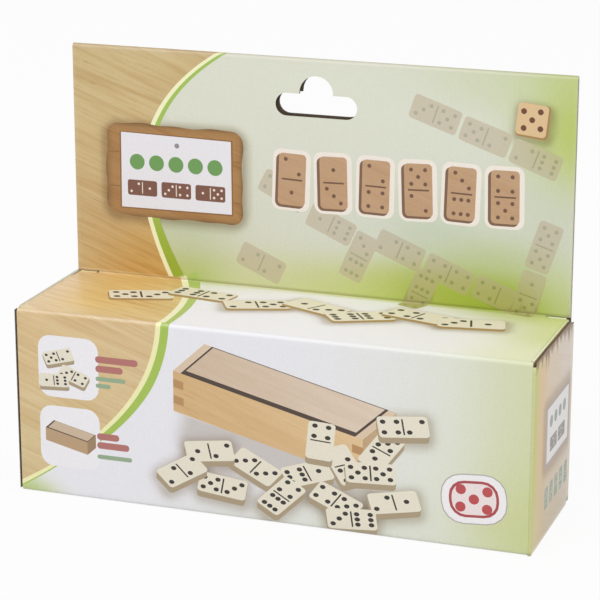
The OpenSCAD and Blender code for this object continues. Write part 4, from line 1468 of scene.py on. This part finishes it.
def merged_copy(node_name, name, finishes):
    """A solid's mesh with its loose triangles joined and its flat faces made whole."""
    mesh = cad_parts[node_name].data.copy()
    mesh.name = name
    mesh.materials.clear()
    joined = bmesh.new()
    joined.from_mesh(mesh)
    bmesh.ops.remove_doubles(joined, verts=joined.verts, dist=WELD_M)
    bmesh.ops.dissolve_limit(joined, angle_limit=FLAT_ANGLE, verts=joined.verts, edges=joined.edges)
    joined.to_mesh(mesh)
    joined.free()
    for finish in finishes:
        mesh.materials.append(finish)
    return in_scene(name, mesh)


def read_all(elements, field, width, kind=float):
    """A field of all of a mesh's elements, as an array with a row for each."""
    values = np.zeros(len(elements) * width, kind)
    elements.foreach_get(field, values)
    return values.reshape(-1, width)


def board_of_wood(node_name, body, long_finish, grain_axis, edge):
    """A wooden board: long grain, end grain on the faces across it, and broken edges."""
    piece = merged_copy(node_name, f"wooden_{node_name}", (long_finish, BEECH_END))
    faces = piece.data.polygons
    cut = np.abs(read_all(faces, "normal", 3)[:, grain_axis]) > 0.9
    faces.foreach_set("material_index", cut.astype(np.int32))
    faces.foreach_set("use_smooth", np.zeros(len(cut), bool))
    bevel = piece.modifiers.new("broken_edges", "BEVEL")
    bevel.width, bevel.segments, bevel.limit_method = edge, 2, "ANGLE"
    bevel.angle_limit = math.radians(50)
    bevel.harden_normals = False
    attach(piece, body)
    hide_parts(node_name)
    return piece


wooden = [board_of_wood(name, "carton", finish, axis, BROKEN_EDGE) for name, finish, axis in
          (("box_floor", BEECH_ALONG, 0), ("box_front_wall", BEECH_ALONG, 0),
           ("box_back_wall", BEECH_ALONG, 0), ("box_left_wall", BEECH_ACROSS, 1),
           ("box_right_wall", BEECH_ACROSS, 1))]
wooden.append(board_of_wood("box_lid", "lid", BEECH_ALONG, 0, LID_EDGE))
print("boards:", [(piece.name, len(piece.data.polygons)) for piece in wooden])

# %% [markdown]
# ## Dominoes and hinge pins
# The dominoes are pressed melamine: hard, cream, polished by tumbling so that their
# edges are round, with black paint in the dimples and the bar. The dimples are in the
# solids, so only the outer edges are rounded here and the paint goes on by depth. The
# lid's pins are bright drawn wire, which needs no more than a finish on its solids.

# %% Melamine, black paint and wire
# Clouds in the cream are 6 mm wide, and the marks of tumbling and the paint's unevenness
# 0.6 mm. The wire's drawing lines are 20 mm long and 0.1 mm wide.
CLOUD_SCALE, TUMBLED_SCALE, UNEVEN_SCALE = 160.0, 1800.0, 1500.0
DRAWN_RUN, DRAWN_WIDTH = 0.02, 0.0001


def melamine(tree):
    """Cream pressed melamine: a hard gloss, and a cloudiness some millimetres across."""
    place = node(tree, "TexCoord").outputs["Object"]
    cloud = node(tree, "TexNoise", [("Vector", place)], Scale=CLOUD_SCALE, Detail=4.0, Roughness=0.55)
    colour = node(tree, "ValToRGB", [("Fac", cloud)], ((0.30, "#E6DFC6"), (0.70, "#F2EDDC")))
    scratch = node(tree, "TexNoise", [("Vector", place)], Scale=TUMBLED_SCALE, Detail=2.0, Roughness=0.5)
    gloss = node(tree, "MapRange", [("Value", scratch)], From_Min=0.3, From_Max=0.7, To_Min=0.20,
                 To_Max=0.32)
    bump = node(tree, "Bump", [("Height", cloud)], Strength=0.04, Distance=0.0002)
    return node(tree, "BsdfPrincipled",
                [("Base Color", colour), ("Roughness", gloss), ("Normal", bump)], IOR=1.6)


def pip_paint(tree):
    """Black enamel paint, thin and a little uneven in the dimples."""
    place = node(tree, "TexCoord").outputs["Object"]
    uneven = node(tree, "TexNoise", [("Vector", place)], Scale=UNEVEN_SCALE, Detail=3.0, Roughness=0.6)
    colour = node(tree, "ValToRGB", [("Fac", uneven)], ((0.30, "#1E1B19"), (0.75, "#35302C")))
    return node(tree, "BsdfPrincipled", [("Base Color", colour)], Roughness=0.42, IOR=1.5)


def drawn_wire(tree):
    """Bright steel wire, drawn through a die: fine lines along its length."""
    place = node(tree, "TexCoord").outputs["Object"]
    lines = streaks(tree, place, DRAWN_RUN, DRAWN_WIDTH, 2.0, 0.0)
    rough = node(tree, "MapRange", [("Value", lines)], From_Min=0.3, From_Max=0.7, To_Min=0.25,
                 To_Max=0.42)
    return node(tree, "BsdfPrincipled", [("Roughness", rough)], Metallic=1.0, Base_Color=paint("#B9B7B2"))


MELAMINE = material_of("cream_pressed_melamine", melamine)
PIP_PAINT = material_of("black_pip_paint", pip_paint)
WIRE = material_of("drawn_steel_wire", drawn_wire)
for side in ("left", "right"):
    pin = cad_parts[f"lid_pin_{side}"].data.materials
    pin.clear()
    pin.append(WIRE)
print("finishes:", MELAMINE.name, PIP_PAINT.name, WIRE.name)

# %% Paint and round the dominoes
TILE_HALF_LENGTH, TILE_HALF_WIDTH, TILE_CORNER, TILE_EDGE = 0.022, 0.011, 0.0026, 0.0005
DIMPLE_DEPTH, DIMPLE_INSET = 0.0006, 4e-4
HAIR, TINY = 1e-5, 1e-6


def outside_distance(points, middle):
    """Distance of points from a domino's rounded outline, below 0 inside, seen along X."""
    d = np.abs(points[:, 1:] - middle[1:]) - (TILE_HALF_LENGTH, TILE_HALF_WIDTH) + TILE_CORNER
    return np.hypot(*np.maximum(d, 0).T) + np.minimum(d.max(1), 0) - TILE_CORNER


def finished_domino(node_name):
    """Black where a face lies below the playing side within the outline, cream
    elsewhere, with a rounded edge along both outlines."""
    piece = merged_copy(node_name, f"played_{node_name}", (MELAMINE, PIP_PAINT))
    mesh = piece.data
    low, high = (np.array(v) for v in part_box(node_name))
    middle = (low + high) / 2
    centres = read_all(mesh.polygons, "center", 3)
    depth = high[0] - centres[:, 0]
    painted = (depth > HAIR) & (depth < DIMPLE_DEPTH + HAIR) \
        & (outside_distance(centres, middle) < -DIMPLE_INSET)
    on_side = np.abs(read_all(mesh.polygons, "normal", 3)[:, 0]) < 0.999
    mesh.polygons.foreach_set("material_index", painted.astype(np.int32))
    mesh.polygons.foreach_set("use_smooth", on_side)
    points = read_all(mesh.vertices, "co", 3)
    on_rim = (np.abs(outside_distance(points, middle)) < 2 * HAIR) & \
        (np.minimum(high[0] - points[:, 0], points[:, 0] - low[0]) < TINY)
    ends = read_all(mesh.edges, "vertices", 2, np.int32)
    across = np.abs(points[ends[:, 0], 0] - points[ends[:, 1], 0]) < TINY
    weight = (on_rim[ends].all(1) & across).astype(np.float32)
    mesh.attributes.new("bevel_weight_edge", "FLOAT", "EDGE").data.foreach_set("value", weight)
    bevel = piece.modifiers.new("tumbled_edge", "BEVEL")
    bevel.width, bevel.segments, bevel.limit_method = TILE_EDGE, 3, "WEIGHT"
    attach(piece, "carton")
    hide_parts(node_name)
    return piece


dominoes = [finished_domino(name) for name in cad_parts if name.startswith("domino_")]
print(len(dominoes), "dominoes,", sum(len(piece.data.polygons) for piece in dominoes), "faces")
